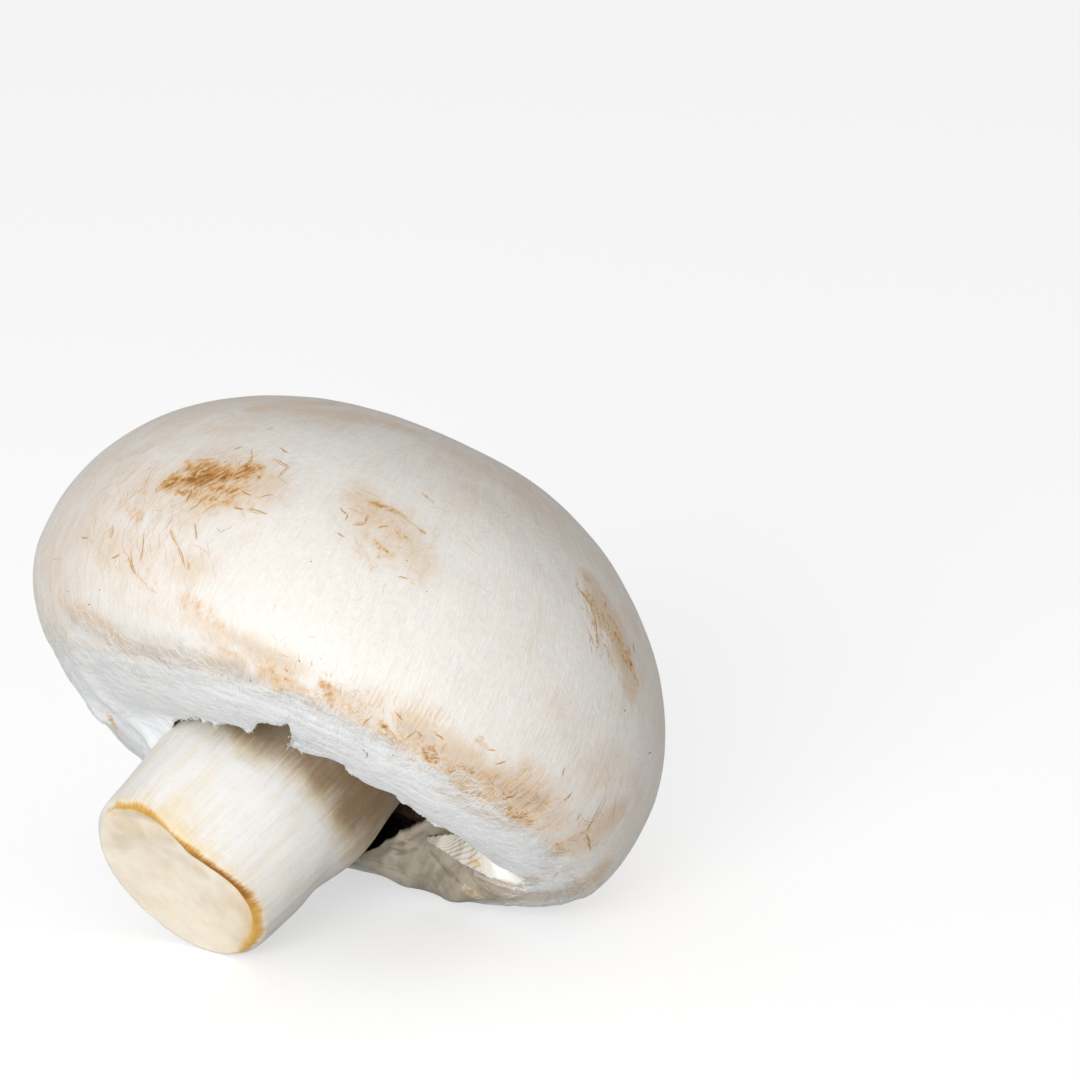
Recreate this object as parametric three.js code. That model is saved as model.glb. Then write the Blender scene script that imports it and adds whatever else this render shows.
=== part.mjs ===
// A button mushroom as picked: a closed cap with its gills, a partial veil torn open on one side, and a short
// cut stem. It lies on the side of its cap and the end of its stem.
// Millimetres, +Z up. The origin is on the surface it lies on, under the middle of its bounding box. The top of
// the cap leans towards +Y, and the cut end of the stem points to -Y.
import * as THREE from "three";

// Driving dimensions. Every piece is shaped as it grew, with the cap's axis along +Z, the top of the cap up and
// z = 0 at the cap's widest ring, and the whole mushroom is laid down at the end. Azimuth is counted about the
// axis from +X towards +Y.
const CAP_RADIUS = 27; // at the widest ring
const DOME_HEIGHT = 20.45; // from the widest ring to the top
const DOME_POWER = 2.02; // 2 is an ellipse, and more is squarer
const MARGIN = 0.42; // share of the way from the widest ring to the stem where cap ends and veil begins
const MARGIN_FLESH = 3.4; // thickness of the cap's wall beside the gills
const STEM_RADIUS = 9.1; // where the stem meets the veil
const STEM_TAPER = 1; // how much thinner its cut end is
const STEM_TOP = 3.4; // the stem ends in a socket in the flesh of the cap
const CUT_CENTRE = new THREE.Vector3(-0.05, -8.5, -20.95); // middle of the cut face
const CUT_DIRECTION = new THREE.Vector3(0.11, -0.49, -0.865).normalize(); // square to the cut face, outwards
const STEM_BEND = 1.3; // how late along its length the stem bends towards the cut: 1 is straight
const VEIL_THICKNESS = 1.3;
const GILL_PLEATS = 36;
const GILL_PLEAT_DEPTH = 0.35;
const GILL_EDGE = -7.9; // the gills hang no lower than this
const CHAMBER = 1; // least room between the gills and the veil
const GAP = 0.35; // between neighbouring pieces
const CAP_LEAN = 33.5; // degrees from upright as it lies
const CAP_FLAT = 0.25; // how far the resting side of the cap and stem is pressed flat

// The underside: from the widest ring the margin hangs down, then it curls in below the gills to the veil's
// inner edge. The first two sizes say how far down it hangs and the next two where it curls in.
const HANG_DEPTH = 6.3;
const HANG_LOW_SIDE = 0.7; // more depth on the low side
const CURL_RADIUS = 21.8;
const CURL_DEPTH = 12.8;
const LOW_SIDE = 41; // azimuth of the side the cap lies on, where the margin is fuller
const LOW_SIDE_TUCK = 0.2; // how far the margin pulls in at once on the low side
const LOW_SIDE_REACH = 2.2; // how much wider it curls there
const LOW_SIDE_DROP = 0.8; // and how much deeper
const TORN_SIDE = 315; // azimuth where the torn veil has sprung back up
const TORN_LIFT = 3.6; // how far it has sprung

// Flesh over the gills, from the margin to the stem, and the top of the gills under it: [radius, height].
const CAP_ROOF = [[21, 0.6], [17.5, 1.6], [13.5, 2]];
const GILL_TOP = [[13.5, 1.6], [17.3, 1.2], [20, 0.4]];
// Heights of the gills' inner side, along the stem.
const GILLS_BESIDE_STEM = [-5, -2, 1.5];

// The cap isn't quite round: each swelling is [azimuth, elevation, width, height], in degrees and millimetres.
const SWELLINGS = [
  [229, 35, 38, 0.9],
  [42, 18, 32, -1.1],
];

// The veil's inner edge, every 15 degrees of azimuth about the stem: [distance from the stem's axis, height].
// Behind, it still holds to the stem, and in front it is torn and stands off.
const VEIL_EDGE = [
  [15.2, -8.9], [16.5, -9.2], [17.9, -9.8], [16.0, -11.4], [11.4, -13.3], [10.4, -13.8],
  [10.4, -13.7], [10.3, -13.5], [10.2, -13.3], [10.2, -13.1], [10.1, -13.0], [9.9, -13.0],
  [9.8, -13.0], [9.8, -12.9], [9.8, -12.5], [9.9, -11.0], [10.2, -9.6], [10.3, -9.2],
  [10.4, -9.0], [10.6, -8.8], [11.4, -8.3], [12.2, -8.2], [13.0, -8.4], [14.1, -8.6],
];

// How many points each section has, and how many sections go round.
const CAP_SECTIONS = 64;
const DOME_STEPS = 13;
const MARGIN_STEPS = 7;
const VEIL_SECTIONS = 72;
const VEIL_STEPS = 8;
const STEM_SECTIONS = 40;
const STEM_STEPS = 10;
// Shares of the underside at which the cap's inner wall, then the gills' edge and outer side, follow it.
const WALL_SHARES = [0.38, 0.23, 0.085];
const GILL_EDGE_SHARES = [0.57, 0.67, 0.77, 0.88];
const GILL_SIDE_SHARE = 0.22;

const TURN = Math.PI * 2;
const DOWN = new THREE.Vector3(0, 0, -1);
const degrees = THREE.MathUtils.degToRad;
const steps = (count) => Array.from({ length: count + 1 }, (_, i) => i / count);

function at(azimuth, radius, height) {
  return new THREE.Vector3(radius * Math.cos(azimuth), radius * Math.sin(azimuth), height);
}

// A closed body from its section at each azimuth. The section either runs from axis to axis, over the outside
// first, or closes on itself.
function turned(sectionAt, count, closesOnItself) {
  const sections = steps(count).slice(0, count).map((turn) => sectionAt(turn * TURN));
  const width = sections[0].length;
  const index = [];
  for (let i = 0; i < count; i++)
    for (let j = 0; j < width - (closesOnItself ? 0 : 1); j++) {
      const here = i * width;
      const next = ((i + 1) % count) * width;
      const k = (j + 1) % width;
      if (closesOnItself || k < width - 1) index.push(here + j, here + k, next + k);
      if (closesOnItself || j > 0) index.push(here + j, next + k, next + j);
    }
  const coordinates = sections.flat().flatMap((point) => [...point]);
  return new THREE.BufferGeometry()
    .setAttribute("position", new THREE.Float32BufferAttribute(coordinates, 3))
    .setIndex(index);
}

// Pushes a point of the cap in or out where the cap isn't round.
function swell(point) {
  const direction = point.clone().normalize();
  const push = SWELLINGS.reduce((sum, [azimuth, elevation, width, height]) => {
    const tilt = degrees(elevation);
    const centre = at(degrees(azimuth), Math.cos(tilt), Math.sin(tilt));
    return sum + height * Math.exp(-((direction.angleTo(centre) / degrees(width)) ** 2));
  }, 0);
  return point.addScaledVector(direction, push);
}

// Outside of the cap's dome: share 0 is the top and 1 the widest ring.
function dome(azimuth, share) {
  const angle = (share * Math.PI) / 2;
  const radius = CAP_RADIUS * Math.sin(angle) ** (2 / DOME_POWER);
  const height = DOME_HEIGHT * Math.max(0, Math.cos(angle)) ** (2 / DOME_POWER);
  return swell(at(azimuth, radius, height));
}

// Middle of the stem at a height.
function stemCentre(height) {
  const share = Math.max(0, height / CUT_CENTRE.z) ** STEM_BEND;
  return new THREE.Vector3(CUT_CENTRE.x * share, CUT_CENTRE.y * share, height);
}

const veilEdge = new THREE.CatmullRomCurve3(
  VEIL_EDGE.map(([reach, height], i) =>
    stemCentre(height).add(at((i / VEIL_EDGE.length) * TURN, reach, 0))),
  true,
  "catmullrom",
);

// From the widest ring of the cap, under the margin and along the veil to its inner edge.
function underside(azimuth) {
  const side = Math.cos(azimuth - degrees(LOW_SIDE));
  const fromTear = azimuth - degrees(TORN_SIDE);
  const angle = Math.atan2(Math.sin(fromTear), Math.cos(fromTear));
  const lift = TORN_LIFT * Math.exp(-(angle ** 2));
  const curlRadius = CURL_RADIUS + LOW_SIDE_REACH * side;
  const curlHeight = lift - CURL_DEPTH - LOW_SIDE_DROP * side;
  return new THREE.CubicBezierCurve3(
    swell(at(azimuth, CAP_RADIUS, 0)),
    swell(at(azimuth, CAP_RADIUS - LOW_SIDE_TUCK * side, -HANG_DEPTH - HANG_LOW_SIDE * side)),
    at(azimuth, curlRadius, curlHeight),
    veilEdge.getPoint(azimuth / TURN),
  );
}

// A point of the underside, moved square to it into the mushroom.
function insideOf(under, azimuth, share, depth) {
  const across = at(azimuth + Math.PI / 2, 1, 0);
  const inward = across.cross(under.getTangent(share)).normalize();
  return under.getPoint(share).addScaledVector(inward, depth);
}

const ring = (azimuth, places) => places.map(([radius, height]) => at(azimuth, radius, height));

function capShape() {
  const stemHole = STEM_RADIUS + GAP;
  const socketTop = STEM_TOP + GAP;
  const inside = [...CAP_ROOF, [stemHole + 0.4, 2], [stemHole, socketTop], [0, socketTop]];
  return turned((azimuth) => {
    const under = underside(azimuth);
    return [
      ...steps(DOME_STEPS).map((share) => dome(azimuth, share)),
      ...steps(MARGIN_STEPS).slice(1).map((share) => under.getPoint(share * MARGIN)),
      ...WALL_SHARES.map((share) => insideOf(under, azimuth, share, MARGIN_FLESH)),
      ...ring(azimuth, inside),
    ];
  }, CAP_SECTIONS, false);
}

function gillShape() {
  return turned((azimuth) => {
    const under = underside(azimuth);
    const pleat = GILL_PLEAT_DEPTH * Math.cos(GILL_PLEATS * azimuth);
    const edge = GILL_EDGE_SHARES.map((share) => {
      const point = insideOf(under, azimuth, share, VEIL_THICKNESS + CHAMBER);
      return point.setZ(Math.max(point.z, GILL_EDGE) + pleat);
    });
    const besideStem = GILLS_BESIDE_STEM.map((height) =>
      stemCentre(height).add(at(azimuth, STEM_RADIUS + 2 * GAP, 0)));
    const besideWall = insideOf(under, azimuth, GILL_SIDE_SHARE, MARGIN_FLESH + 2 * GAP);
    return [...edge, ...besideStem, ...ring(azimuth, GILL_TOP), besideWall];
  }, GILL_PLEATS * 2, true);
}

function veilShape() {
  const from = MARGIN + 0.02;
  const to = 0.98;
  const shares = steps(VEIL_STEPS).map((share) => from + share * (to - MARGIN));
  return turned((azimuth) => {
    const under = underside(azimuth);
    const outside = shares.map((share) => under.getPoint(share));
    const inside = shares.map((share) => insideOf(under, azimuth, share, VEIL_THICKNESS));
    return [...outside, ...inside.reverse()];
  }, VEIL_SECTIONS, true);
}

function stemShape() {
  const cutTilt = new THREE.Quaternion().setFromUnitVectors(DOWN, CUT_DIRECTION);
  return turned((azimuth) => {
    const side = steps(STEM_STEPS).map((share) => {
      const centre = stemCentre(THREE.MathUtils.lerp(STEM_TOP, CUT_CENTRE.z, share));
      const radius = STEM_RADIUS - STEM_TAPER * share ** 4;
      const tilt = new THREE.Quaternion().slerp(cutTilt, share ** 2);
      return at(azimuth, radius, 0).applyQuaternion(tilt).add(centre);
    });
    return [new THREE.Vector3(0, 0, STEM_TOP), ...side, CUT_CENTRE];
  }, STEM_SECTIONS, false);
}

// Turns a piece into the pose it lies in, and presses flat what would sink into the surface.
function layDown(geometry, floor) {
  geometry.rotateX(-degrees(CAP_LEAN));
  const position = geometry.attributes.position;
  for (let i = 0; i < position.count; i++)
    position.setZ(i, Math.max(position.getZ(i), floor));
  geometry.computeVertexNormals();
}

function lowest(geometry) {
  const turnedOver = geometry.clone().rotateX(-degrees(CAP_LEAN));
  turnedOver.computeBoundingBox();
  return turnedOver.boundingBox.min.z;
}

const pieces = {
  cap: [capShape(), { color: 0xe9e0d8, roughness: 0.6 }],
  gills: [gillShape(), { color: 0x4a3428, roughness: 0.9 }],
  veil: [veilShape(), { color: 0xe6e6e6, roughness: 0.9 }],
  stem: [stemShape(), { color: 0xeee5d8, roughness: 0.7 }],
};

const mushroom = new THREE.Group();
const floor = lowest(pieces.cap[0]) + CAP_FLAT;
for (const [name, [geometry, look]] of Object.entries(pieces)) {
  layDown(geometry, floor);
  const material = new THREE.MeshStandardMaterial({ metalness: 0, ...look });
  const mesh = new THREE.Mesh(geometry, material);
  mesh.name = name;
  mushroom.add(mesh);
}
const box = new THREE.Box3().setFromObject(mushroom);
const middle = box.getCenter(new THREE.Vector3());
mushroom.position.set(-middle.x, -middle.y, -floor);

export default mushroom;
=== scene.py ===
# %% [markdown]
# A button mushroom that has been picked and laid on its side. Its looks are built round a imported solid model,
# which arrives as four nodes: cap, gills, veil and stem. The cap's node gives the place, and each node is
# hidden and a finer mesh takes its place. Everything is worked out in millimetres, in the frame in which the
# mushroom grew (the cap's axis along +Z, z = 0 at its widest ring), and laid down at the end.

# %% Load the solid model
from itertools import product

import bpy
import numpy as np
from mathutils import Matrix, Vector
from mathutils.bvhtree import BVHTree


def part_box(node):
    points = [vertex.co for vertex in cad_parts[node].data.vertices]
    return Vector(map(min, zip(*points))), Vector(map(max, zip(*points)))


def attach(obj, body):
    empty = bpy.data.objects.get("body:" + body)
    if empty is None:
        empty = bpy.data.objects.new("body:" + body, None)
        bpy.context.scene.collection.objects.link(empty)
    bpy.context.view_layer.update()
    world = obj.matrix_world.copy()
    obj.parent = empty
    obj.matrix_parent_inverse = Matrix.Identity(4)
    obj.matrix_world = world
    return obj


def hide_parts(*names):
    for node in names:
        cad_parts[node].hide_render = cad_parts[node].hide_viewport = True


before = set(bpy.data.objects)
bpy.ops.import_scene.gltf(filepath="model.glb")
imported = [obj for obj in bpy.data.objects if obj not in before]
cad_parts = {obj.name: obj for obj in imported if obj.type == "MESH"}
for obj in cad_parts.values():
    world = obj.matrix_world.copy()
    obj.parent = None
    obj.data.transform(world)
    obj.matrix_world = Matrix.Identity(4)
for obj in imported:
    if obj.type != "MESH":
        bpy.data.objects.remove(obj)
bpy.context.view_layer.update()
print("solid model:", sorted(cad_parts))

# %% [markdown]
# The mushroom's own sizes. A mushroom is a body of revolution that growth has pushed about a little, so a few
# radii and heights say nearly everything: they could be measured off the solid model, but as named sizes they
# can also place wrinkles, bruises and tears. Azimuth runs about the cap's axis from +X towards +Y.

# %% Sizes, in millimetres and degrees
MM = 0.001
TURN = 2 * np.pi
CAP_RADIUS = 27.0
DOME_HEIGHT = 20.45
DOME_POWER = 2.02
MARGIN = 0.42  # share of the underside at which skin ends and veil begins
STEM_RADIUS = 9.1
STEM_TAPER = 1.0
STEM_TOP = 3.4
STEM_BEND = 1.3
CUT_CENTRE = np.array([-0.05, -8.5, -20.95])
CUT_DIRECTION = np.array([0.11, -0.49, -0.865])
CAP_LEAN = 33.5
LOW_SIDE = 41
TORN_SIDE = 315
# Below the widest ring the outside hangs down, and then curls in under the gills. Both differ on the low
# side.
HANG_DEPTH, HANG_LOW_SIDE, LOW_SIDE_TUCK = 6.3, 0.7, 0.2
CURL_RADIUS, LOW_SIDE_REACH = 21.8, 2.2
CURL_DEPTH, LOW_SIDE_DROP = 12.8, 0.8
SPRING_BACK = 3.6  # how far the curl has sprung up where the veil is torn
# Where the cap isn't round: azimuth, elevation, width and height of each swelling.
SWELLINGS = [(229, 35, 38, 0.9), (42, 18, 32, -1.1)]
# The veil's inner edge every 15 degrees round the stem: distance from the stem's axis, and height.
VEIL_EDGE = [
    (15.2, -8.9), (16.5, -9.2), (17.9, -9.8), (16, -11.4), (11.4, -13.3), (10.4, -13.8), (10.4, -13.7),
    (10.3, -13.5), (10.2, -13.3), (10.2, -13.1), (10.1, -13), (9.9, -13), (9.8, -13), (9.8, -12.9),
    (9.8, -12.5), (9.9, -11), (10.2, -9.6), (10.3, -9.2), (10.4, -9), (10.6, -8.8), (11.4, -8.3),
    (12.2, -8.2), (13, -8.4), (14.1, -8.6),
]


def at(azimuth, radius, height):
    azimuth, radius, height = np.broadcast_arrays(azimuth, radius, height)
    return np.stack([radius * np.cos(azimuth), radius * np.sin(azimuth), height], -1)


def toward(azimuth, elevation):
    """Unit vector from the middle of the cap, from angles in degrees."""
    tilt = np.radians(elevation)
    return at(np.radians(azimuth), np.cos(tilt), np.sin(tilt))


def unit(vectors):
    return vectors / np.linalg.norm(vectors, axis=-1, keepdims=True)


def smooth(values, low, high):
    """0 at low and 1 at high, eased at both ends."""
    share = np.clip((values - low) / (high - low), 0, 1)
    return share * share * (3 - 2 * share)


def turn_from(azimuth, centre):
    """Angle in degrees from an azimuth given in degrees, between -180 and 180."""
    difference = azimuth - np.radians(centre)
    return np.degrees(np.arctan2(np.sin(difference), np.cos(difference)))


def by_azimuth(table, azimuth, column=1):
    """A column of a table whose rows start with an azimuth in degrees, read between its rows."""
    return np.interp(np.degrees(azimuth) % 360, [row[0] for row in table], [row[column] for row in table])


def ring(count):
    """Azimuths that are evenly spaced all the way round."""
    return np.arange(count) / count * TURN


print(f"cap {2 * CAP_RADIUS} mm across, stem {2 * STEM_RADIUS} mm, "
      f"veil edge known at {len(VEIL_EDGE)} places")

# %% [markdown]
# The outside of the cap and veil follows two curves for each azimuth: a quarter of a rounded oval for the
# dome, and below the widest ring a Bezier curve that hangs down, curls in under the gills and ends at the
# veil's torn edge. The edge itself is a spline through the 24 places above.

# %% The curves that the mushroom grew along
def swell(points):
    direction = unit(points)
    push = np.zeros(points.shape[:-1])
    for azimuth, elevation, width, height in SWELLINGS:
        angle = np.arccos(np.clip(direction @ toward(azimuth, elevation), -1, 1))
        push += height * np.exp(-((angle / np.radians(width)) ** 2))
    return points + direction * push[..., None]


def dome(azimuth, share):
    angle = share * np.pi / 2
    radius = CAP_RADIUS * np.sin(angle) ** (2 / DOME_POWER)
    height = DOME_HEIGHT * np.maximum(0, np.cos(angle)) ** (2 / DOME_POWER)
    return swell(at(azimuth, radius, height))


def stem_centre(height):
    height = np.asarray(height, float)
    share = np.maximum(0, height / CUT_CENTRE[2]) ** STEM_BEND
    return np.stack([CUT_CENTRE[0] * share, CUT_CENTRE[1] * share, height], -1)


EDGE_POINTS = np.array([
    stem_centre(height) + at(TURN * i / len(VEIL_EDGE), reach, 0)
    for i, (reach, height) in enumerate(VEIL_EDGE)
])


def veil_edge(azimuth):
    count = len(EDGE_POINTS)
    place = (azimuth / TURN) % 1 * count
    first = np.floor(place).astype(int)
    t = (place - first)[..., None]
    a, b, c, d = (EDGE_POINTS[(first + k) % count] for k in (-1, 0, 1, 2))
    return b + t * ((c - a) + t * ((2 * a - 5 * b + 4 * c - d) + t * (3 * b - a - 3 * c + d))) / 2


def underside(azimuth, share):
    """Share 0 is the cap's widest ring, and 1 the veil's inner edge."""
    side = np.cos(azimuth - np.radians(LOW_SIDE))
    lift = SPRING_BACK * np.exp(-np.radians(turn_from(azimuth, TORN_SIDE)) ** 2)
    a = swell(at(azimuth, CAP_RADIUS, 0.0))
    b = swell(at(azimuth, CAP_RADIUS - LOW_SIDE_TUCK * side, -HANG_DEPTH - HANG_LOW_SIDE * side))
    c = at(azimuth, CURL_RADIUS + LOW_SIDE_REACH * side, lift - CURL_DEPTH - LOW_SIDE_DROP * side)
    d = veil_edge(azimuth)
    t = share[..., None]
    return (1 - t) ** 3 * a + 3 * t * (1 - t) ** 2 * b + 3 * t**2 * (1 - t) * c + t**3 * d


print("top of the cap (mm):", dome(0.0, 0.0).round(2))

# %% [markdown]
# Growth leaves lumps of every size. Smooth random values on a lattice, blended between its points, give a
# lump of any width at any place on the mushroom, the same on every run. Stretching the place first gives
# fibres.

# %% Lumps and outward directions
LATTICE_SIZE = 8192
LATTICE = np.random.default_rng(7).uniform(-1, 1, LATTICE_SIZE)
# Large primes, so that neighbouring cells get unlike values.
SCATTER = 73856093, 19349663, 83492791, 2654435761


def lumps(points, width, seed=0):
    """Smooth values from about -1 to 1 that change over the given width."""
    place = points / width
    cell = np.floor(place).astype(np.int64)
    part = place - cell
    part = part * part * (3 - 2 * part)
    total = np.zeros(points.shape[:-1])
    for corner in product((0, 1), repeat=3):
        i, j, k = (axis * prime for axis, prime in zip(np.moveaxis(cell + corner, -1, 0), SCATTER))
        value = LATTICE[(i ^ j ^ k ^ seed * SCATTER[3]) % LATTICE_SIZE]
        total += value * np.prod(np.where(corner, part, 1 - part), -1)
    return total


def outward(grid):
    """Directions square to a grid of points whose rows run down and whose columns run all the way round."""
    along = np.roll(grid, -1, axis=1) - np.roll(grid, 1, axis=1)
    square = np.cross(np.gradient(grid, axis=0), along)
    return square / np.maximum(np.linalg.norm(square, axis=-1, keepdims=True), 1e-9)


print("lattice of", len(LATTICE), "values")

# %% [markdown]
# The mushroom is laid down by turning it about X and moving it so that its dome reaches as far as the solid
# one. What would go through the board is pressed flat, as the soft flesh is under its own weight.

# %% Laying it down
def turn_over(points):
    lean = np.radians(CAP_LEAN)
    x, y, z = np.moveaxis(points, -1, 0)
    return np.stack([x, y * np.cos(lean) + z * np.sin(lean), z * np.cos(lean) - y * np.sin(lean)], -1)


def find_place():
    """Where the middle of the cap's widest ring lies, in metres."""
    around, down = np.meshgrid(np.linspace(0, TURN, 241), np.linspace(0.001, 1, 121))
    laid = turn_over(dome(around, down)).reshape(-1, 3) * MM
    return np.array(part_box("cap")[1]) - laid.max(0)


PLACE = find_place()
print("middle of the cap (mm):", (PLACE / MM).round(2))


def lay_down(points):
    laid = turn_over(points) * MM + PLACE
    laid[..., 2] = np.maximum(laid[..., 2], 0)
    return laid


# %% [markdown]
# The camera comes before the mushroom itself, because many marks on the front are placed as seen from it. It
# stands a little above the board with a long lens, so the mushroom looks as it does from an arm's length. It
# aims to the right of the mushroom and above it, which leaves room there.

# %% Camera
VIEW_AZIMUTH, VIEW_ELEVATION = 45.61, 15
DISTANCE = 337.5
LENS, SENSOR = 140, 36
VIEW_SIZE = 1080  # places in the view count from its top left corner, and its sides are this long
STEP = DISTANCE * SENSOR / LENS / VIEW_SIZE  # what a step of 1 in the view is on the mushroom, in millimetres
AIM_RIGHT, AIM_UP, AIM_NEAR = 15.02, 10.93, 0.34
azimuth, elevation = np.radians([VIEW_AZIMUTH, VIEW_ELEVATION])
LOOK = np.array([
    -np.sin(azimuth) * np.cos(elevation), np.cos(azimuth) * np.cos(elevation), -np.sin(elevation),
])
RIGHT = np.array([np.cos(azimuth), np.sin(azimuth), 0])
UP = np.cross(RIGHT, LOOK)
AIM = PLACE + MM * (AIM_RIGHT * RIGHT + AIM_UP * UP - AIM_NEAR * LOOK)


def build_camera():
    data = bpy.data.cameras.new("camera")
    data.lens = LENS
    data.sensor_width = data.sensor_height = SENSOR
    data.sensor_fit = "AUTO"
    data.clip_start = 0.01
    camera = bpy.data.objects.new("camera", data)
    camera.location = AIM - LOOK * DISTANCE * MM
    camera.rotation_euler = Vector(LOOK).to_track_quat("-Z", "Y").to_euler()
    bpy.context.scene.collection.objects.link(camera)
    bpy.context.scene.camera = camera
    print("camera at (mm):", [round(v / MM) for v in camera.location])
    return camera


camera = build_camera()


def sight(x, y):
    """The direction from the camera through a place in its view."""
    across, up = (np.array([x, VIEW_SIZE - y]) / VIEW_SIZE - 0.5) * SENSOR / LENS
    return unit(LOOK + across * RIGHT + up * UP)


# %% [markdown]
# Every sheet of the mushroom is a grid of points whose rows run down it and whose columns run round it, so
# one helper turns a grid into a mesh. It also keeps values at the points, such as where fleece starts, for
# the materials to read.

# %% From a grid of points to a mesh
def keep(piece, label, values):
    """Stores a number or a vector at each point of a piece."""
    values = np.asarray(values, np.float32).reshape(len(piece.data.vertices), -1)
    vector = values.shape[1] == 3
    layer = piece.data.attributes.new(label, "FLOAT_VECTOR" if vector else "FLOAT", "POINT")
    layer.data.foreach_set("vector" if vector else "value", values.ravel())


def new_piece(name, points, faces, values, rounded=True):
    """An object on the root body.

    Points are in metres, as they lie; values are numbers or vectors kept at them.
    """
    mesh = bpy.data.meshes.new(name)
    mesh.from_pydata(points, [], faces)
    if rounded:
        mesh.shade_smooth()
    piece = bpy.data.objects.new(name, mesh)
    for label, value in values.items():
        keep(piece, label, value)
    bpy.context.scene.collection.objects.link(piece)
    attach(piece, "root")
    print(f"{name}: {len(mesh.polygons)} faces, {[round(v / MM, 1) for v in piece.dimensions]} mm")
    return piece


def skin_over(name, grid, values, closed=True, pole=False):
    """A mesh over a grid of points in the grown frame.

    Where there is a pole, it closes the grid in the middle of its first row.
    """
    rows, columns = grid.shape[:2]
    index = np.arange(rows * columns).reshape(rows, columns)
    if closed:
        index = np.concatenate([index, index[:, :1]], 1)
    corners = index[:-1, :-1], index[1:, :-1], index[1:, 1:], index[:-1, 1:]
    faces = np.stack(corners, -1).reshape(-1, 4).tolist()

    def with_pole(value):
        value = value.reshape(rows * columns, -1)
        return np.concatenate([value, value[:columns].mean(0)[None]]) if pole else value

    points = with_pole(lay_down(grid))
    if pole:
        faces += [[len(points) - 1, a, b] for a, b in zip(index[0, :-1], index[0, 1:])]
    values = {"grown": grid, **values}
    values = {label: with_pole(np.asarray(value, np.float32)) for label, value in values.items()}
    return new_piece(name, points, faces, values)


# %% [markdown]
# Broad patches of tone, and the marks of the far side, are dabs on the round of the cap: each has a centre, a
# half length, a half width, a slant from level and a strength. The materials break them up.

# %% Dabs of colour
def dabs(points, marks):
    direction = unit(points)
    total = np.zeros(points.shape[:-1])
    for azimuth, elevation, length, width, slant, strength in marks:
        centre = toward(azimuth, elevation)
        east = at(np.radians(azimuth + 90), 1, 0)
        north = np.cross(centre, east)
        x, y = CAP_RADIUS * (direction @ east), CAP_RADIUS * (direction @ north)
        tilt = np.radians(slant)
        u = (x * np.cos(tilt) + y * np.sin(tilt)) / length
        v = (y * np.cos(tilt) - x * np.sin(tilt)) / width
        total = np.maximum(total, strength * np.exp(-(u**2) - v**2) * (direction @ centre > 0))
    return total


# Azimuth, elevation, half length, half width, slant, strength.
FAR_STAINS = [
    (150, 30, 2.2, 0.9, 40, 0.8), (147, 26, 1.4, 0.5, 60, 0.6), (155, 33, 1.2, 0.7, 10, 0.55),
    (60, 8, 1.7, 0.7, -45, 0.75), (63, 5, 1.2, 0.5, -60, 0.6), (195, 5, 1.6, 0.7, 65, 0.75),
    (192, 9, 1, 0.5, 50, 0.6), (110, -10, 8, 1.6, 0, 0.28), (165, -11, 8, 1.6, 0, 0.3),
    (220, -12, 6, 1.6, 0, 0.28), (60, -10, 7, 1.4, 0, 0.28),
]
# Scuffs on the far side: grey along the border where the cap turns under, partly rubbed-in dirt and partly
# painted shade.
FAR_SCUFFS_AND_SHADE = [(238, -17, 6, 2.2, 0, 0.6), (120, -15, 9, 1.8, 0, 0.6), (190, -16, 9, 1.8, 0, 0.6)]
FAR_RIPPLES = [
    (110, -8, 9, 2.5, 0, 0.8), (170, -9, 9, 2.5, 0, 0.8), (220, -8, 7, 2.5, 0, 0.7), (60, -8, 8, 2.2, 0, 0.7),
]
# Warm zones are partly older skin and partly painted shade on the top, the sides and the rim.
WARM_AND_SHADE_ZONES = [
    (300, 72, 26, 13, 0, 0.55), (262, 34, 12, 8, 40, 0.6), (340, 48, 14, 8, 0, 0.6), (20, 20, 10, 16, 0, 0.5),
    (250, 2, 8, 12, 0, 0.6), (100, 30, 24, 14, 0, 0.42), (200, 25, 16, 12, 30, 0.42), (60, -5, 12, 6, 0, 0.6),
    (150, -5, 14, 6, 0, 0.6),
]
print(f"far side: {len(FAR_STAINS)} stains, {len(FAR_SCUFFS_AND_SHADE)} scuffs, {len(FAR_RIPPLES)} bands of ripples")

# %% [markdown]
# The cap: a thin, dry, satin skin over firm white flesh. It could be a sphere that is sculpted, but a grid
# that runs from the top to the rim follows the way the fibres of the skin lie, so each one bends with the
# surface. Below, it turns in beside the gills and over them, as the solid model does, so that it also looks
# right through the tear.

# %% Cap
EVEN = ring(530)
CROWDING = 0.45  # how much closer together the columns are on the side with the most marks
AROUND = EVEN - CROWDING * np.sin(EVEN - np.radians(TORN_SIDE))
DOME_ROWS, UNDER_ROWS = 122, 46
TUCK = 0.35  # how far the skin's edge goes in under the veil
# The inside of the flesh: first shares of the underside and depths below it, then radii and heights.
WALL = [(0.4, 0.9), (0.35, 3.4), (0.23, 3.4), (0.085, 3.4)]
ROOF = [(21, 0.6), (17.5, 1.6), (13.5, 2), (9.6, 2.4), (2, 3.7)]


def fibre_place(points):
    """Places for patterns that run from the top of the cap to its rim: round it, and down the surface."""
    azimuth = np.arctan2(points[..., 1], points[..., 0])
    down = np.arccos(np.clip(unit(points)[..., 2], -1, 1))
    return np.stack([CAP_RADIUS * np.cos(azimuth), CAP_RADIUS * np.sin(azimuth), CAP_RADIUS * down], -1)


def inside_of(azimuth, share, depth):
    """A point of the underside moved square to it, into the mushroom."""
    here, after = underside(azimuth, share), underside(azimuth, share + 1e-3)
    inward = unit(np.cross(at(azimuth + TURN / 4, 1, 0.0), after - here))
    return here + inward * depth[..., None]


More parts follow.
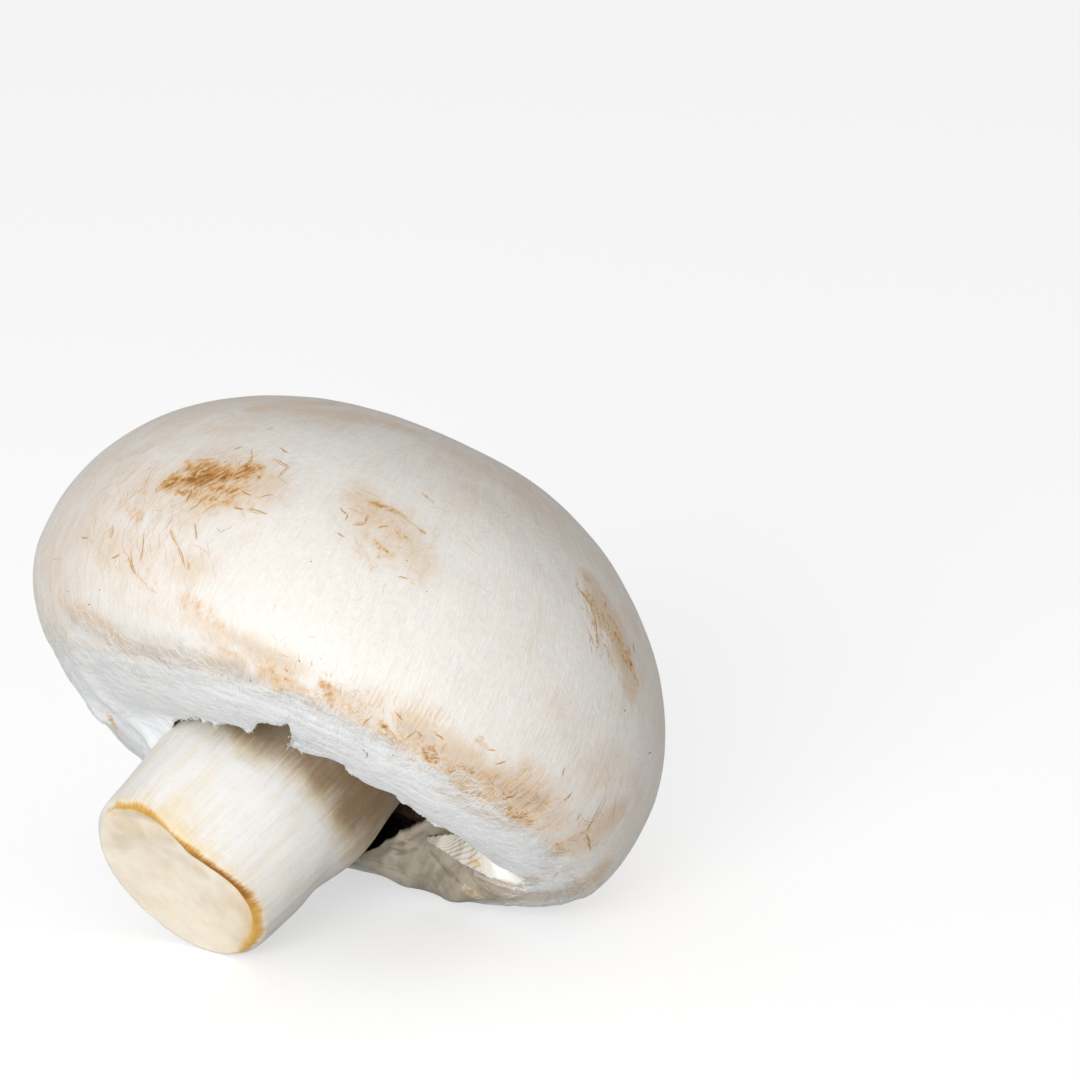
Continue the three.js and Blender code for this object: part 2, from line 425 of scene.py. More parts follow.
def build_cap():
    over, down = np.meshgrid(AROUND, np.linspace(0.006, 1, DOME_ROWS))
    under, share = np.meshgrid(AROUND, np.linspace(0, MARGIN + 0.02, UNDER_ROWS)[1:])
    skin = np.concatenate([dome(over, down), underside(under, share)])
    tuck = np.concatenate([np.zeros(over.shape), TUCK * smooth(share, 0.418, 0.47)])
    skin += outward(skin) * (cap_relief(skin) - tuck)[..., None]
    wall = np.stack([
        inside_of(AROUND, np.full_like(AROUND, share), np.full_like(AROUND, depth)) for share, depth in WALL
    ])
    roof = np.stack([at(AROUND, radius, height) for radius, height in ROOF])
    grid = np.concatenate([skin, wall, roof])
    is_skin = np.arange(len(grid))[:, None] < len(skin)
    values = {
        "fibres": fibre_place(grid),
        "fleece": fleece_share(grid) * is_skin,
        "flesh": np.broadcast_to(1.0 - is_skin, grid.shape[:2]),
    }
    return skin_over("cap_skin", grid, values, pole=True)


def cap_relief(skin):
    """How far the skin stands out or in: broad lumps, and faint ribs along the fibres."""
    place = fibre_place(skin)
    relief = 0.17 * lumps(skin, 11, 1) + 0.08 * lumps(skin, 5, 2) + 0.03 * lumps(skin, 2, 3)
    low = smooth(-skin[..., 2], 1, 7)
    ribs = lumps(place / (1.3, 1.3, 7), 1, 4) + 0.6 * lumps(place / (0.8, 0.8, 4), 1, 5)
    fade = smooth(place[..., 2], 20, 34)
    return relief + ribs * fade * (0.006 + 0.03 * low)


# Azimuth, and the height at which skin turns into fleece.
FLEECE_BORDER = [
    (0, -7.7), (13, -8.3), (31, -8.6), (60, -8.8), (120, -7.6), (180, -7.2), (248, -7.6), (279, -7),
    (291, -6.4), (315, -6.1), (330, -6.3), (343, -6.7), (351, -7), (360, -7.7),
]


def fleece_share(points):
    """0 on skin and 1 on the cottony veil, with a wide, streaky border between them."""
    border = by_azimuth(FLEECE_BORDER, np.arctan2(points[..., 1], points[..., 0]))
    ragged = 0.7 * lumps(points * (1, 1, 0.3), 3.2, 8) + 0.45 * lumps(points * (1, 1, 0.4), 1.1, 9)
    return smooth(border + ragged - points[..., 2], -1.3, 1.5)


cap = build_cap()
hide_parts("cap")

# %% [markdown]
# The veil: a cottony sheet that grew from the rim of the cap to the stem and hid the gills. On the front it
# has torn away from the stem. A cloth simulation could tear it, but the tear is known, so its edge is written
# down as how far the sheet reaches at each azimuth and how far it hangs or curls there. The fleece and the
# folds are added as relief.

# %% Where the veil is torn, and its relief
HELD_SIDE, CURLED_SIDE = 156, 57  # azimuths of the middle of each
# Azimuth, share of the underside at which the torn sheet ends, and how far its edge has curled up, in
# millimetres.
TEAR = [
    (0, 0.92, 0), (10, 0.925, 0), (18, 0.92, 0), (20, 0.765, 0), (36, 0.86, 0), (42, 0.97, 0.4),
    (45, 0.985, 2.2), (48, 0.985, 4.3), (52, 0.985, 4.8), (56, 0.985, 4.4), (60, 0.985, 3.2),
    (64, 0.985, 1.6), (69, 0.985, 0.4), (76, 0.985, 0), (90, 0.985, 0), (225, 0.985, 0), (240, 1.02, 0),
    (262, 1.03, 0), (276, 0.99, 0), (292, 0.97, 0), (299, 0.95, -0.15), (301, 0.86, 0), (303, 0.79, 0.1),
    (306, 0.74, 0.15), (309, 0.69, 0.2), (310.4, 0.72, 0.1), (311.4, 0.84, -0.1), (312.5, 0.94, -0.3),
    (318, 0.95, -0.4), (324, 0.95, 0.1), (328, 0.95, 0.35), (329, 0.95, 0.3), (330, 0.95, -0.2),
    (336, 0.94, -0.25), (342, 0.93, 0), (352, 0.93, -0.1), (360, 0.92, 0),
]


def holds_stem(azimuth):
    """1 where the veil still holds to the stem, and 0 where it is torn."""
    return 1 - smooth(np.abs(turn_from(azimuth, HELD_SIDE)), 80, 98)


def curled(azimuth):
    """1 on the low side, where the torn sheet has curled up and crumpled."""
    return 1 - smooth(np.abs(turn_from(azimuth, CURLED_SIDE)), 10, 24)


FOLD_CENTRE = 50  # azimuth of the middle of the curled edge
# Millimetres on the curled edge to a degree, and to the whole of the underside.
PER_DEGREE, PER_SHARE = 0.22, 24
# From azimuth and share of the underside, to azimuth and share; half width and height in millimetres.
FOLDS = [
    (66, 0.90, 55, 0.98, 0.6, 0.6), (62, 0.93, 52, 0.99, 0.3, -0.25), (50, 0.965, 41, 0.84, 0.7, 0.5),
    (54, 0.95, 44, 0.83, 0.35, -0.25), (61, 0.82, 48, 0.9, 0.7, 0.4), (72, 0.88, 64, 0.95, 0.5, 0.35),
    (57, 0.86, 49, 0.95, 0.3, -0.2),
]


def folded(azimuth, share):
    """Height of the folds that the curled edge lies in."""
    place = np.stack([PER_DEGREE * turn_from(azimuth, FOLD_CENTRE), PER_SHARE * share], -1)
    height = np.zeros(share.shape)
    for *ends, half_width, rise in FOLDS:
        start, end = (np.reshape(ends, (2, 2)) - (FOLD_CENTRE, 0)) * (PER_DEGREE, PER_SHARE)
        along = np.clip((place - start) @ (end - start) / np.sum((end - start) ** 2), 0, 1)
        gap = np.linalg.norm(place - start - along[..., None] * (end - start), axis=-1)
        height += rise * np.exp(-((gap / half_width) ** 2))
    return height


def slanting_folds(azimuth, share):
    """Places on the curled edge, measured across its folds and, last, along them."""
    along, across = PER_DEGREE * turn_from(azimuth, FOLD_CENTRE), PER_SHARE * (share - 0.9)
    return np.stack([0.85 * across + 0.53 * along, 0 * along, 0.85 * along - 0.53 * across], -1)


def veil_relief(grid, azimuth, share):
    """Fleece, with the wisps that run round the stem, a lump and folds."""
    place = np.stack([12 * np.cos(azimuth), 12 * np.sin(azimuth), 22 * share], -1)
    wisps = lumps(place * (0.5, 0.5, 2.2), 1.1, 11) + 0.7 * lumps(place * (0.5, 0.5, 2.2), 0.5, 12)
    relief = 0.11 * lumps(grid, 3.2, 13) + 0.05 * lumps(grid, 1.3, 14)
    relief = relief + 0.05 * wisps + 0.025 * lumps(grid, 0.45, 15)
    relief *= 1 - 0.7 * curled(azimuth) * smooth(share, 0.75, 0.86)
    lump = ((turn_from(azimuth, 219)) / 6) ** 2 + ((share - 0.79) / 0.075) ** 2
    fold = (turn_from(azimuth, 243) + 45 * (share - 0.6)) / 3.5
    relief += 0.55 * np.exp(-lump) * (1 + 0.5 * lumps(grid, 1.0, 16)) + 0.28 * np.exp(-(fold**2))
    relief += 0.3 * holds_stem(azimuth) * lumps(place * (1, 1, 0.35), 3.0, 17) * smooth(share, 0.5, 0.75)
    drapes = lumps(slanting_folds(azimuth, share) / (1.3, 1, 6.0), 1, 19)
    return relief + curled(azimuth) * (0.4 * smooth(share, 0.8, 0.9) * drapes + folded(azimuth, share))


print(f"veil held on {np.mean(holds_stem(ring(360)) > 0.5):.0%} of the way round, with {len(FOLDS)} folds")

# %% [markdown]
# The sheet has two faces, an outer one of fleece and an inner one with the prints of the gills, and gets
# thinner towards the torn edge. There, lumps of three widths eat into it and leave small teeth. Where the
# veil still holds, its edge is led onto the stem.

# %% Veil
VEIL_ROOT = 0.39  # share of the underside at which the sheet starts, under the skin
VEIL_AROUND = ring(800)
OUTER_ROWS, INNER_ROWS = 76, 34
PLEATS = 200  # prints of the gills on the inside of the veil, four columns each
THINNEST, THICKER = 0.3, 0.9  # thickness at the torn edge, and what the root has more, in millimetres
EDGE_RADIUS = 13.0
# Depth as a share of the underside; width; seed.
TEETH = [(0.024, 1.1, 21), (0.032, 0.42, 22), (0.02, 0.2, 25)]


def veil_sheet(azimuth, length, depth):
    """Length 0 is the root under the skin, and 1 the torn edge. Depth is how far inside the outer face."""
    teeth_place = at(azimuth, EDGE_RADIUS, 0.0)
    teeth = sum(deep * np.abs(lumps(teeth_place, width, seed)) for deep, width, seed in TEETH)
    teeth *= 1 - 0.85 * curled(azimuth)
    torn = 1 - holds_stem(azimuth)
    share = VEIL_ROOT + length * (by_azimuth(TEAR, azimuth, 1) - torn * teeth - VEIL_ROOT)
    points = inside_of(azimuth, share, depth)
    hang = 0.22 * torn * (1 - curled(azimuth)) * (lumps(teeth_place, 0.5, 23) + lumps(teeth_place, 1.4, 24))
    curl = by_azimuth(TEAR, azimuth, 2) * smooth(length, 0.74, 1.02)
    points[..., 2] += curl + hang * smooth(length, 0.93, 1.01)
    grip = stem_centre(points[..., 2] - 1.0) + at(azimuth, STEM_RADIUS + 0.05, 0.0) * (1, 1, 0)
    hold = (holds_stem(azimuth) * smooth(length, 0.86, 1))[..., None]
    return points * (1 - hold) + grip * hold, share


def build_veil():
    around, length = np.meshgrid(VEIL_AROUND, np.linspace(0, 1, OUTER_ROWS) ** 0.9)
    outer, share = veil_sheet(around, length, 0.16 * (1 - smooth(length, 0, 0.05)))
    root = cap_relief(outer) * (1 - smooth(length, 0.1, 0.3))
    relief = veil_relief(outer, around, share) * smooth(length, 0.05, 0.16)
    outer += outward(outer) * (root + relief)[..., None]
    around_in, length_in = np.meshgrid(VEIL_AROUND, np.linspace(1, 0.02, INNER_ROWS))
    thick = THINNEST + THICKER * (1 - smooth(length_in, 0.55, 1.0)) * (1 - 0.4 * holds_stem(around_in))
    inner, share_in = veil_sheet(around_in, length_in, thick)
    ribs = np.cos(PLEATS * around_in) * smooth(thick, 0.32, 0.6)
    inner += outward(inner) * (0.11 * ribs + 0.12 * lumps(inner, 2.5, 18))[..., None]
    grid = np.concatenate([outer, inner])
    inside = np.concatenate([np.zeros(outer.shape[:2]), np.ones(inner.shape[:2])])
    close_to_edge = np.concatenate([smooth(length, 0.93, 1), smooth(length_in, 0.97, 1)])
    around, share = np.concatenate([around, around_in]), np.concatenate([share, share_in])
    values = {
        "fibres": fibre_place(grid),
        "folds": slanting_folds(around, share),
        "fleece": np.maximum(fleece_share(grid), inside),
        "inside": inside * (1 - close_to_edge),
        "pleats": inside * (0.5 + 0.5 * np.cos(PLEATS * around)),
        # The curled low side, which is painted darker: partly older tissue, partly painted shade.
        "dull_and_shade": curled(around) * smooth(share, 0.72, 0.86),
    }
    return skin_over("veil_sheet", grid, values), outer[-4:]


veil, veil_hem = build_veil()
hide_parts("veil")

# %% [markdown]
# At the low end of the tear, a strip of the veil's inner layer has been left behind, clean and
# cream-coloured, a little deeper than the fleece. It is its own thin sheet, so that its border stays crisp.

# %% Inner strip at the end of the tear
STRIP_RADIUS = 17.0  # where it lies, for its lumps
STRIP_THICKNESS = 0.28
STRIP_OUT = 1.1  # how far the strip's turned-up end stands out
# Azimuth, then share of the underside and lift in millimetres, at the strip's outer edge and at its inner
# edge.
STRIP = [
    (14, 0.70, 0, 0.978, 0), (28, 0.70, 0, 0.985, 0.2), (36, 0.72, 0, 0.985, 1.3), (41, 0.90, 0, 0.985, 2.5),
    (46, 0.98, 0.5, 0.985, 2.9), (50, 0.985, 1.4, 0.985, 2.7), (54, 0.985, 2.2, 0.985, 2.35),
]


def build_inner_strip():
    azimuths = np.radians(np.linspace(STRIP[0][0], STRIP[-1][0], 200))
    around, across = np.meshgrid(azimuths, np.linspace(0, 1, 60))
    share0, lift0, share1, lift1 = (by_azimuth(STRIP, around, column) for column in range(1, 5))
    share = share0 + (share1 - share0) * across + 0.006 * lumps(at(around, STRIP_RADIUS, 0.0), 0.6, 31)
    lift = lift0 + (lift1 - lift0) * across
    depth = 0.5 + 0.06 * lumps(at(around, STRIP_RADIUS, 14 * share), 2.2, 32)
    turn_on = smooth(np.degrees(around), 40, 44)
    uneven = lumps(at(around, STRIP_RADIUS, 3 * across), 1.1, 33)
    uneven = uneven + 0.5 * lumps(at(around, STRIP_RADIUS, 6 * across), 0.4, 34)
    pleats = np.cos(TURN * (np.degrees(around) + 5 * across) / 1.05 + 1.6 * uneven)
    sheets = []
    for below in (0.0, STRIP_THICKNESS):
        points = inside_of(around, share, depth + below)
        points[..., 2] += lift + 0.035 * turn_on * pleats * (below == 0)
        points[..., 0] += (STRIP_OUT - below) * turn_on
        points[..., 1] -= (STRIP_OUT - below) * turn_on
        sheets.append(points)
    grid = np.concatenate([sheets[0], sheets[1][::-1]])
    values = {
        "fibres": at(around, 14.0, 22 * share), "pleats": turn_on * (0.5 - 0.5 * pleats), "turned_shade": turn_on,
    }
    values = {label: np.concatenate([value, value[::-1]]) for label, value in values.items()}
    return skin_over("veil_inner_strip", grid, values, closed=False)


strip = build_inner_strip()

# %% [markdown]
# The gills: hundreds of thin blades that hang from the flesh of the cap and run from its rim to the stem,
# nearly black when the cap is this ripe. One blade is worked out as a band with four corners at each step and
# copied round, a little wavy and each its own length, and shorter blades stand between the long ones as they
# do in nature.

# %% Gills
BLADES = 264
BLADE_STEPS = 16
BLADE_HALF = 0.075  # half of a blade's thickness
BLADE_START = 10.2  # how far from the cap's axis the long blades start
BLADE_LOWEST = -7.9


def blade_heights(turn, wave, step, share):
    """Top and bottom of every blade at its steps. Share is 0 at the cap's rim and 1 by the stem."""
    top = 1.5 - 1.6 * (1 - share) ** 2
    around = np.repeat(turn[:, None], BLADE_STEPS, 1)
    under = inside_of(around, 0.42 + 0.46 * share, np.full(share.shape, 2.4))
    bottom = np.maximum(under[..., 2], BLADE_LOWEST + 0.15 * np.sin(wave * 3))
    round_off = smooth(step, 0, 0.12) * (1 - smooth(step, 0.93, 1.0))
    return top, top - (top - bottom) * np.maximum(round_off, 0.02)


def blade_faces():
    faces = []
    for first in range(0, BLADES * BLADE_STEPS * 4, BLADE_STEPS * 4):
        last = first + 4 * (BLADE_STEPS - 1)
        for here in range(first, last, 4):
            faces += [[here + k, here + (k + 1) % 4, here + 4 + (k + 1) % 4, here + 4 + k] for k in range(4)]
        faces += [[first + 3, first + 2, first + 1, first], [last, last + 1, last + 2, last + 3]]
    return faces


def build_gills():
    rng = np.random.default_rng(11)
    turn = (np.arange(BLADES) + rng.uniform(-0.15, 0.15, BLADES)) / BLADES * TURN
    rim = inside_of(turn, np.full(BLADES, 0.4), np.full(BLADES, 3.9))
    outer = np.hypot(rim[:, 0], rim[:, 1])[:, None]
    short = np.where(np.arange(BLADES) % 2, rng.uniform(0.35, 0.7, BLADES), 0.0)
    wave = rng.uniform(0, TURN, (BLADES, 1))
    step = np.linspace(0, 1, BLADE_STEPS)[None, :]
    start = BLADE_START + (outer - BLADE_START) * short[:, None]
    radius = start + (outer - start) * step
    angle = turn[:, None] + 0.012 * np.sin(radius * 0.9 + wave)
    top, bottom = blade_heights(turn, wave, step, 1 - (radius - BLADE_START) / (outer - BLADE_START))
    corners = np.stack([
        at(angle, radius, height) + at(angle + TURN / 4, BLADE_HALF * side, 0.0)
        for side, height in ((-1, top), (-1, bottom), (1, bottom), (1, top))
    ], 2)
    beside_stem = smooth(14 - np.hypot(corners[..., 0], corners[..., 1]), 0, 4)
    lean = stem_centre(corners[..., 2]) * beside_stem[..., None]
    corners[..., :2] += lean[..., :2]
    points = corners.reshape(-1, 3)
    return new_piece("gill_blades", lay_down(points), blade_faces(), {"grown": points}, rounded=False)


gills = build_gills()
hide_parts("gills")
print(BLADES, "blades")

# %% [markdown]
# The stem: a round column of stringy flesh, cut off square to its own bend. The fibres run lengthwise, so its
# ribs are lumps stretched along it. The cut face has dried unevenly, with a raised lip and a crease on one
# side.

# %% The stem's relief
FLATTENED_SIDE, LIP_SIDE, CREASE_SIDE = 317, 325, 350  # azimuths of the middle of each


def tilt_ring(points, share):
    """Turns the rings of the stem, more and more towards the cut, so that the last one lies in the cut."""
    cut = unit(CUT_DIRECTION)
    axis = unit(np.array([cut[1], -cut[0], 0.0]))
    angle = (np.arccos(-cut[2]) * share**2)[..., None]
    along = (points @ axis)[..., None] * axis
    return points * np.cos(angle) + np.cross(axis, points) * np.sin(angle) + along * (1 - np.cos(angle))


def stem_relief(azimuth, height, place):
    """Lengthwise ribs, soft lumps, and a swelling under the veil on the low side."""
    ribs = lumps(place / (0.8, 0.8, 9), 1, 41) + 0.6 * lumps(place / (0.42, 0.42, 6), 1, 42)
    relief = 0.035 * ribs + 0.14 * lumps(place, 5.5, 43) + 0.05 * lumps(place, 1.8, 44)
    swelling = (turn_from(azimuth, 46) / 34) ** 2 + ((height + 11.6) / 2.6) ** 2
    dip = (turn_from(azimuth, 52) / 22) ** 2 + ((height + 15.6) / 1.3) ** 2
    return relief + 0.35 * np.exp(-swelling) - 0.3 * np.exp(-dip)


def flat_side(azimuth):
    return np.exp(-((turn_from(azimuth, FLATTENED_SIDE) / 35) ** 2))


def face_relief(azimuth, radius):
    """Height of the cut face: a dried lip, a crease behind it on one side, a hollow and faint knife marks."""
    x, y = radius * np.cos(azimuth), radius * np.sin(azimuth)
    place = np.stack([x, y, np.zeros_like(x)], -1)
    edge = STEM_RADIUS - STEM_TAPER - radius
    lip_side = np.exp(-((turn_from(azimuth, LIP_SIDE) / 85) ** 2))
    height = 0.22 * lip_side * np.exp(-(((edge - 0.35) / 0.4) ** 2))
    crease_side = np.exp(-((turn_from(azimuth, CREASE_SIDE) / 48) ** 2))
    height -= 0.42 * crease_side * np.exp(-(((edge - 1.05) / 0.33) ** 2))
    height -= 0.5 * np.exp(-(((x + 0.6) / 2.4) ** 2) - ((y + 5.7) / 0.8) ** 2)
    facets = 0.22 * np.abs(lumps(place, 4.5, 45)) + 0.05 * lumps(place, 1.6, 48)
    return height + facets + 0.02 * lumps(place, 0.7, 46) - 0.02 * edge


print(f"cut face leans by {np.degrees(np.arccos(-unit(CUT_DIRECTION)[2])):.1f} degrees")

# %% [markdown]
# Side and cut face are one grid from the top, down the side, over the rim and in to the middle of the cut, so
# the rim can be rounded. Values for the finish are worked out on the same grid: how amber and burnt the dried
# rim is, and how damp and shaded the part is that the veil sheltered, partly damp flesh and partly painted
# shade from the veil's edge.

# %% Stem
STEM_AROUND = ring(420)
SIDE_ROWS = 150
FACE_ROWS = 70
SIDE_LENGTH, FACE_REACH = 24, 8  # millimetres down the side, and from the middle of the cut face to its rim
FLATTENING = 0.85  # the stem was squeezed a little on one side as it was cut
LIP = 1.0
# Azimuth; width of the dried rim on the side and on the face; how amber and how burnt it is; how far its halo
# reaches.
RIM_LABELS = ("side", "face", "amber", "burnt", "halo")
RIM = [
    (0, 0.46, 0.4, 1, 0.75, 0.7), (12, 0.44, 0.6, 1, 0.35, 0.6), (30, 0.36, 0.8, 0.95, 0.15, 0.5),
    (50, 0.3, 0.9, 0.8, 0.1, 0.4), (64, 0.2, 0.6, 0.55, 0, 0.4), (80, 0.2, 0.3, 0.1, 0, 0.4),
    (110, 0.2, 0.2, 0, 0, 0.4), (150, 0.2, 0.2, 0.12, 0, 0.4), (225, 0.2, 0.2, 0.1, 0, 0.4),
    (243, 0.24, 0.2, 0.6, 0, 0.8), (256, 0.3, 0.25, 0.85, 0.1, 1.3), (270, 0.4, 0.25, 0.9, 0.2, 1.2),
    (280, 0.46, 0.2, 0.95, 0.35, 1.2), (292, 0.36, 0.2, 0.9, 0.2, 2.2), (306, 0.4, 0.2, 0.95, 0.45, 1.9),
    (322, 0.5, 0.2, 1, 0.75, 1.2), (340, 0.5, 0.22, 1, 1, 0.8), (360, 0.46, 0.4, 1, 0.75, 0.7),
]
# Azimuth; how far down the stem the damp and the painted shade reach, from where the veil sheltered and shades
# it; how strong they are.
DAMP_AND_SHADE = [
    (0, -12.3, 0.95), (14, -12.9, 0.85), (38, -13.1, 0.6), (60, -12, 0.5), (236, -12, 0.5),
    (258, -10.6, 0.44), (276, -11.1, 0.6), (288, -11.4, 0.84), (304, -11.5, 0.86), (328, -11.5, 0.8),
    (344, -11.7, 0.9), (360, -12.3, 0.95),
]


# Painted shade under the veil's edge, mixed with damp flesh: olive to brown, strongest at the top of the stem.
def damp_and_shade(azimuth, height, place):
    limit = by_azimuth(DAMP_AND_SHADE, azimuth, 1) + 0.5 * lumps(place, 1.7, 49)
    return by_azimuth(DAMP_AND_SHADE, azimuth, 2) * smooth(height, limit - 3.0, limit + 2.6)


def dried_rim(azimuth, up_side, inside, place):
    """Values for the colours of the dried rim, from the distances to it on the side and on the cut face."""
    rim = {label: by_azimuth(RIM, azimuth, column) for column, label in enumerate(RIM_LABELS, 1)}
    uneven = 1 + 0.45 * lumps(place, 1.5, 47)
    amber = np.concatenate([
        np.exp(-((up_side / (rim["side"][:SIDE_ROWS] * uneven)) ** 2)),
        np.exp(-((inside / rim["face"][SIDE_ROWS:]) ** 2)),
    ])
    halo = np.concatenate([np.exp(-up_side / rim["halo"][:SIDE_ROWS]), np.exp(-inside / 1.1)])
    return {"amber": amber * rim["amber"], "burnt": rim["burnt"] * amber, "halo": halo * rim["amber"]}


def build_stem():
    around, share = np.meshgrid(STEM_AROUND, np.linspace(0, 1, SIDE_ROWS))
    height = STEM_TOP + (CUT_CENTRE[2] - STEM_TOP) * share
    place = np.stack([STEM_RADIUS * np.cos(around), STEM_RADIUS * np.sin(around), height], -1)
    rounding = 0.4 * smooth(share, 0.975, 1.0) ** 2
    radius = STEM_RADIUS - STEM_TAPER * share**4 + stem_relief(around, height, place) - rounding
    radius -= FLATTENING * flat_side(around) * smooth(share, 0.5, 1.0)
    hang = LIP * flat_side(around) * smooth(share, 0.8, 1.0)
    side = tilt_ring(at(around, radius, -hang), share) + stem_centre(height)
    around_face, inward = np.meshgrid(STEM_AROUND, np.linspace(0.985, 0.01, FACE_ROWS))
    face_radius = radius[-1] * inward
    hang = LIP * flat_side(around_face) * np.exp(-(((1 - inward) / 0.1) ** 2))
    raised = face_relief(around_face, face_radius) * smooth(1 - inward, 0, 0.04) + hang
    face = tilt_ring(at(around_face, face_radius, -raised), np.ones(inward.shape)) + CUT_CENTRE
    across_face = face_radius * np.cos(around_face), face_radius * np.sin(around_face)
    on_face = np.stack([*across_face, 0 * inward - 21], -1)
    values = {
        "fibres": np.concatenate([place, on_face]),
        "cut": np.concatenate([0 * share, 0 * inward + 1]),
        "damp_shade": np.concatenate([damp_and_shade(around, height, place), 0 * inward]),
        **dried_rim(
            np.concatenate([around, around_face]), (1 - share) * SIDE_LENGTH, (1 - inward) * FACE_REACH,
            place,
        ),
    }
    grid = np.concatenate([side, face])
    return skin_over("stem_flesh", grid[::-1, ::-1], {k: v[::-1, ::-1] for k, v in values.items()}, pole=True)


stem = build_stem()
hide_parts("stem")

# %% [markdown]
# The marks of the front are painted stroke by stroke, as a painter would: each goes from one place in the
# camera's view to another, with a width and a strength. Lines of sight from the camera find where its ends
# lie on the mushroom, and the stroke is then a soft tube between them, so it stays put when seen from another
# side.

# %% Helpers that paint strokes
BRISTLES = 6
WIDEST_BRUSH = 9  # half width in the view; wider strokes are plain, soft shading
THINNEST_BRISTLE = 0.13
BETWEEN_BRISTLES = 0.72  # how strongly a narrow stroke colours the skin between the marks of its bristles


def surface_of(piece):
    mesh = piece.data
    faces = [tuple(face.vertices) for face in mesh.polygons]
    return BVHTree.FromPolygons([corner.co for corner in mesh.vertices], faces)


def first_hit(surfaces, start, way):
    """Where a ray from start first meets one of the surfaces, and which way the surface faces there."""
    hits = [hit for hit in (surface.ray_cast(start, Vector(way)) for surface in surfaces) if hit[0]]
    return min(hits, key=lambda hit: hit[3])[:2] if hits else (None, None)


def seen(x, y, surfaces):
    place, _ = first_hit(surfaces, camera.location, sight(x, y))
    if place is None:
        raise ValueError(f"nothing is seen at {x}, {y}")
    return np.array(place)


def tube(points, start, end, width):
    """1 in the middle of a soft tube from start to end, and 0 outside it."""
    run = end - start
    share = np.clip((points - start) @ run / max(run @ run, 1e-12), 0, 1)
    gap = np.linalg.norm(points - start - share[:, None] * run, axis=1)
    return np.exp(-((gap / (width * (0.65 + 0.35 * np.sin(np.pi * share)))) ** 2))


def brushed(points, strokes, surfaces):
    """How strongly strokes colour each point.

    Points are in metres, as they lie, and half widths are in the view.
    A narrow stroke is mostly the marks of single bristles, which start and stop at different places along it.
    """
    chance = np.random.default_rng(7)
    total = np.zeros(len(points))
    for x0, y0, x1, y1, half_width, strength in strokes:
        start, end = seen(x0, y0, surfaces), seen(x1, y1, surfaces)
        width = STEP * MM * half_width
        reach = np.linalg.norm(end - start) / 2 + 3 * width
        near = np.linalg.norm(points - (start + end) / 2, axis=1) < reach
        narrow = half_width < WIDEST_BRUSH
        mark = (BETWEEN_BRISTLES if narrow else 1.0) * tube(points[near], start, end, width)
        for _ in range(BRISTLES * narrow):
            first, last = chance.uniform(-0.1, 0.5), chance.uniform(0.5, 1.1)
            aside = chance.normal(0, 0.45, 3) * width
            bristle = (start + first * (end - start) + aside, start + last * (end - start) + aside)
            thin = max(width * chance.uniform(0.3, 0.5), THINNEST_BRISTLE * MM)
            mark = np.maximum(mark, chance.uniform(0.7, 1.2) * tube(points[near], *bristle, thin))
        total[near] = np.maximum(total[near], strength * mark)
    return total


def read(items, field, size=3, kind=float):
    """A number or a vector from each item of a mesh, one to a row."""
    values = np.zeros(len(items) * size, kind)
    items.foreach_get(field, values)
    return values.reshape(-1, size)


def lying(piece):
    return read(piece.data.vertices, "co")


def paint_strokes(label, strokes, far):
    """Paints the cap and the veil with strokes on the front and dabs on the far side."""
    for piece in (cap, veil):
        grown = read(piece.data.attributes["grown"].data, "vector")
        values = np.maximum(brushed(lying(piece), strokes, front_surfaces), dabs(grown, far))
        keep(piece, label, values)
        print(f"{label} on {piece.name}: {len(strokes)} strokes, {np.mean(values > 0.1):.0%} of its points")


front_surfaces = [surface_of(piece) for piece in (cap, veil, strip, stem)]

# %% [markdown]
# Stains: ochre where the skin was rubbed, brown where it was bruised. Strengths under about 0.5 stay ochre,
# and those near 1 turn brown. The big bruise near the top is a crowd of strokes that lean the way it was
# scraped.

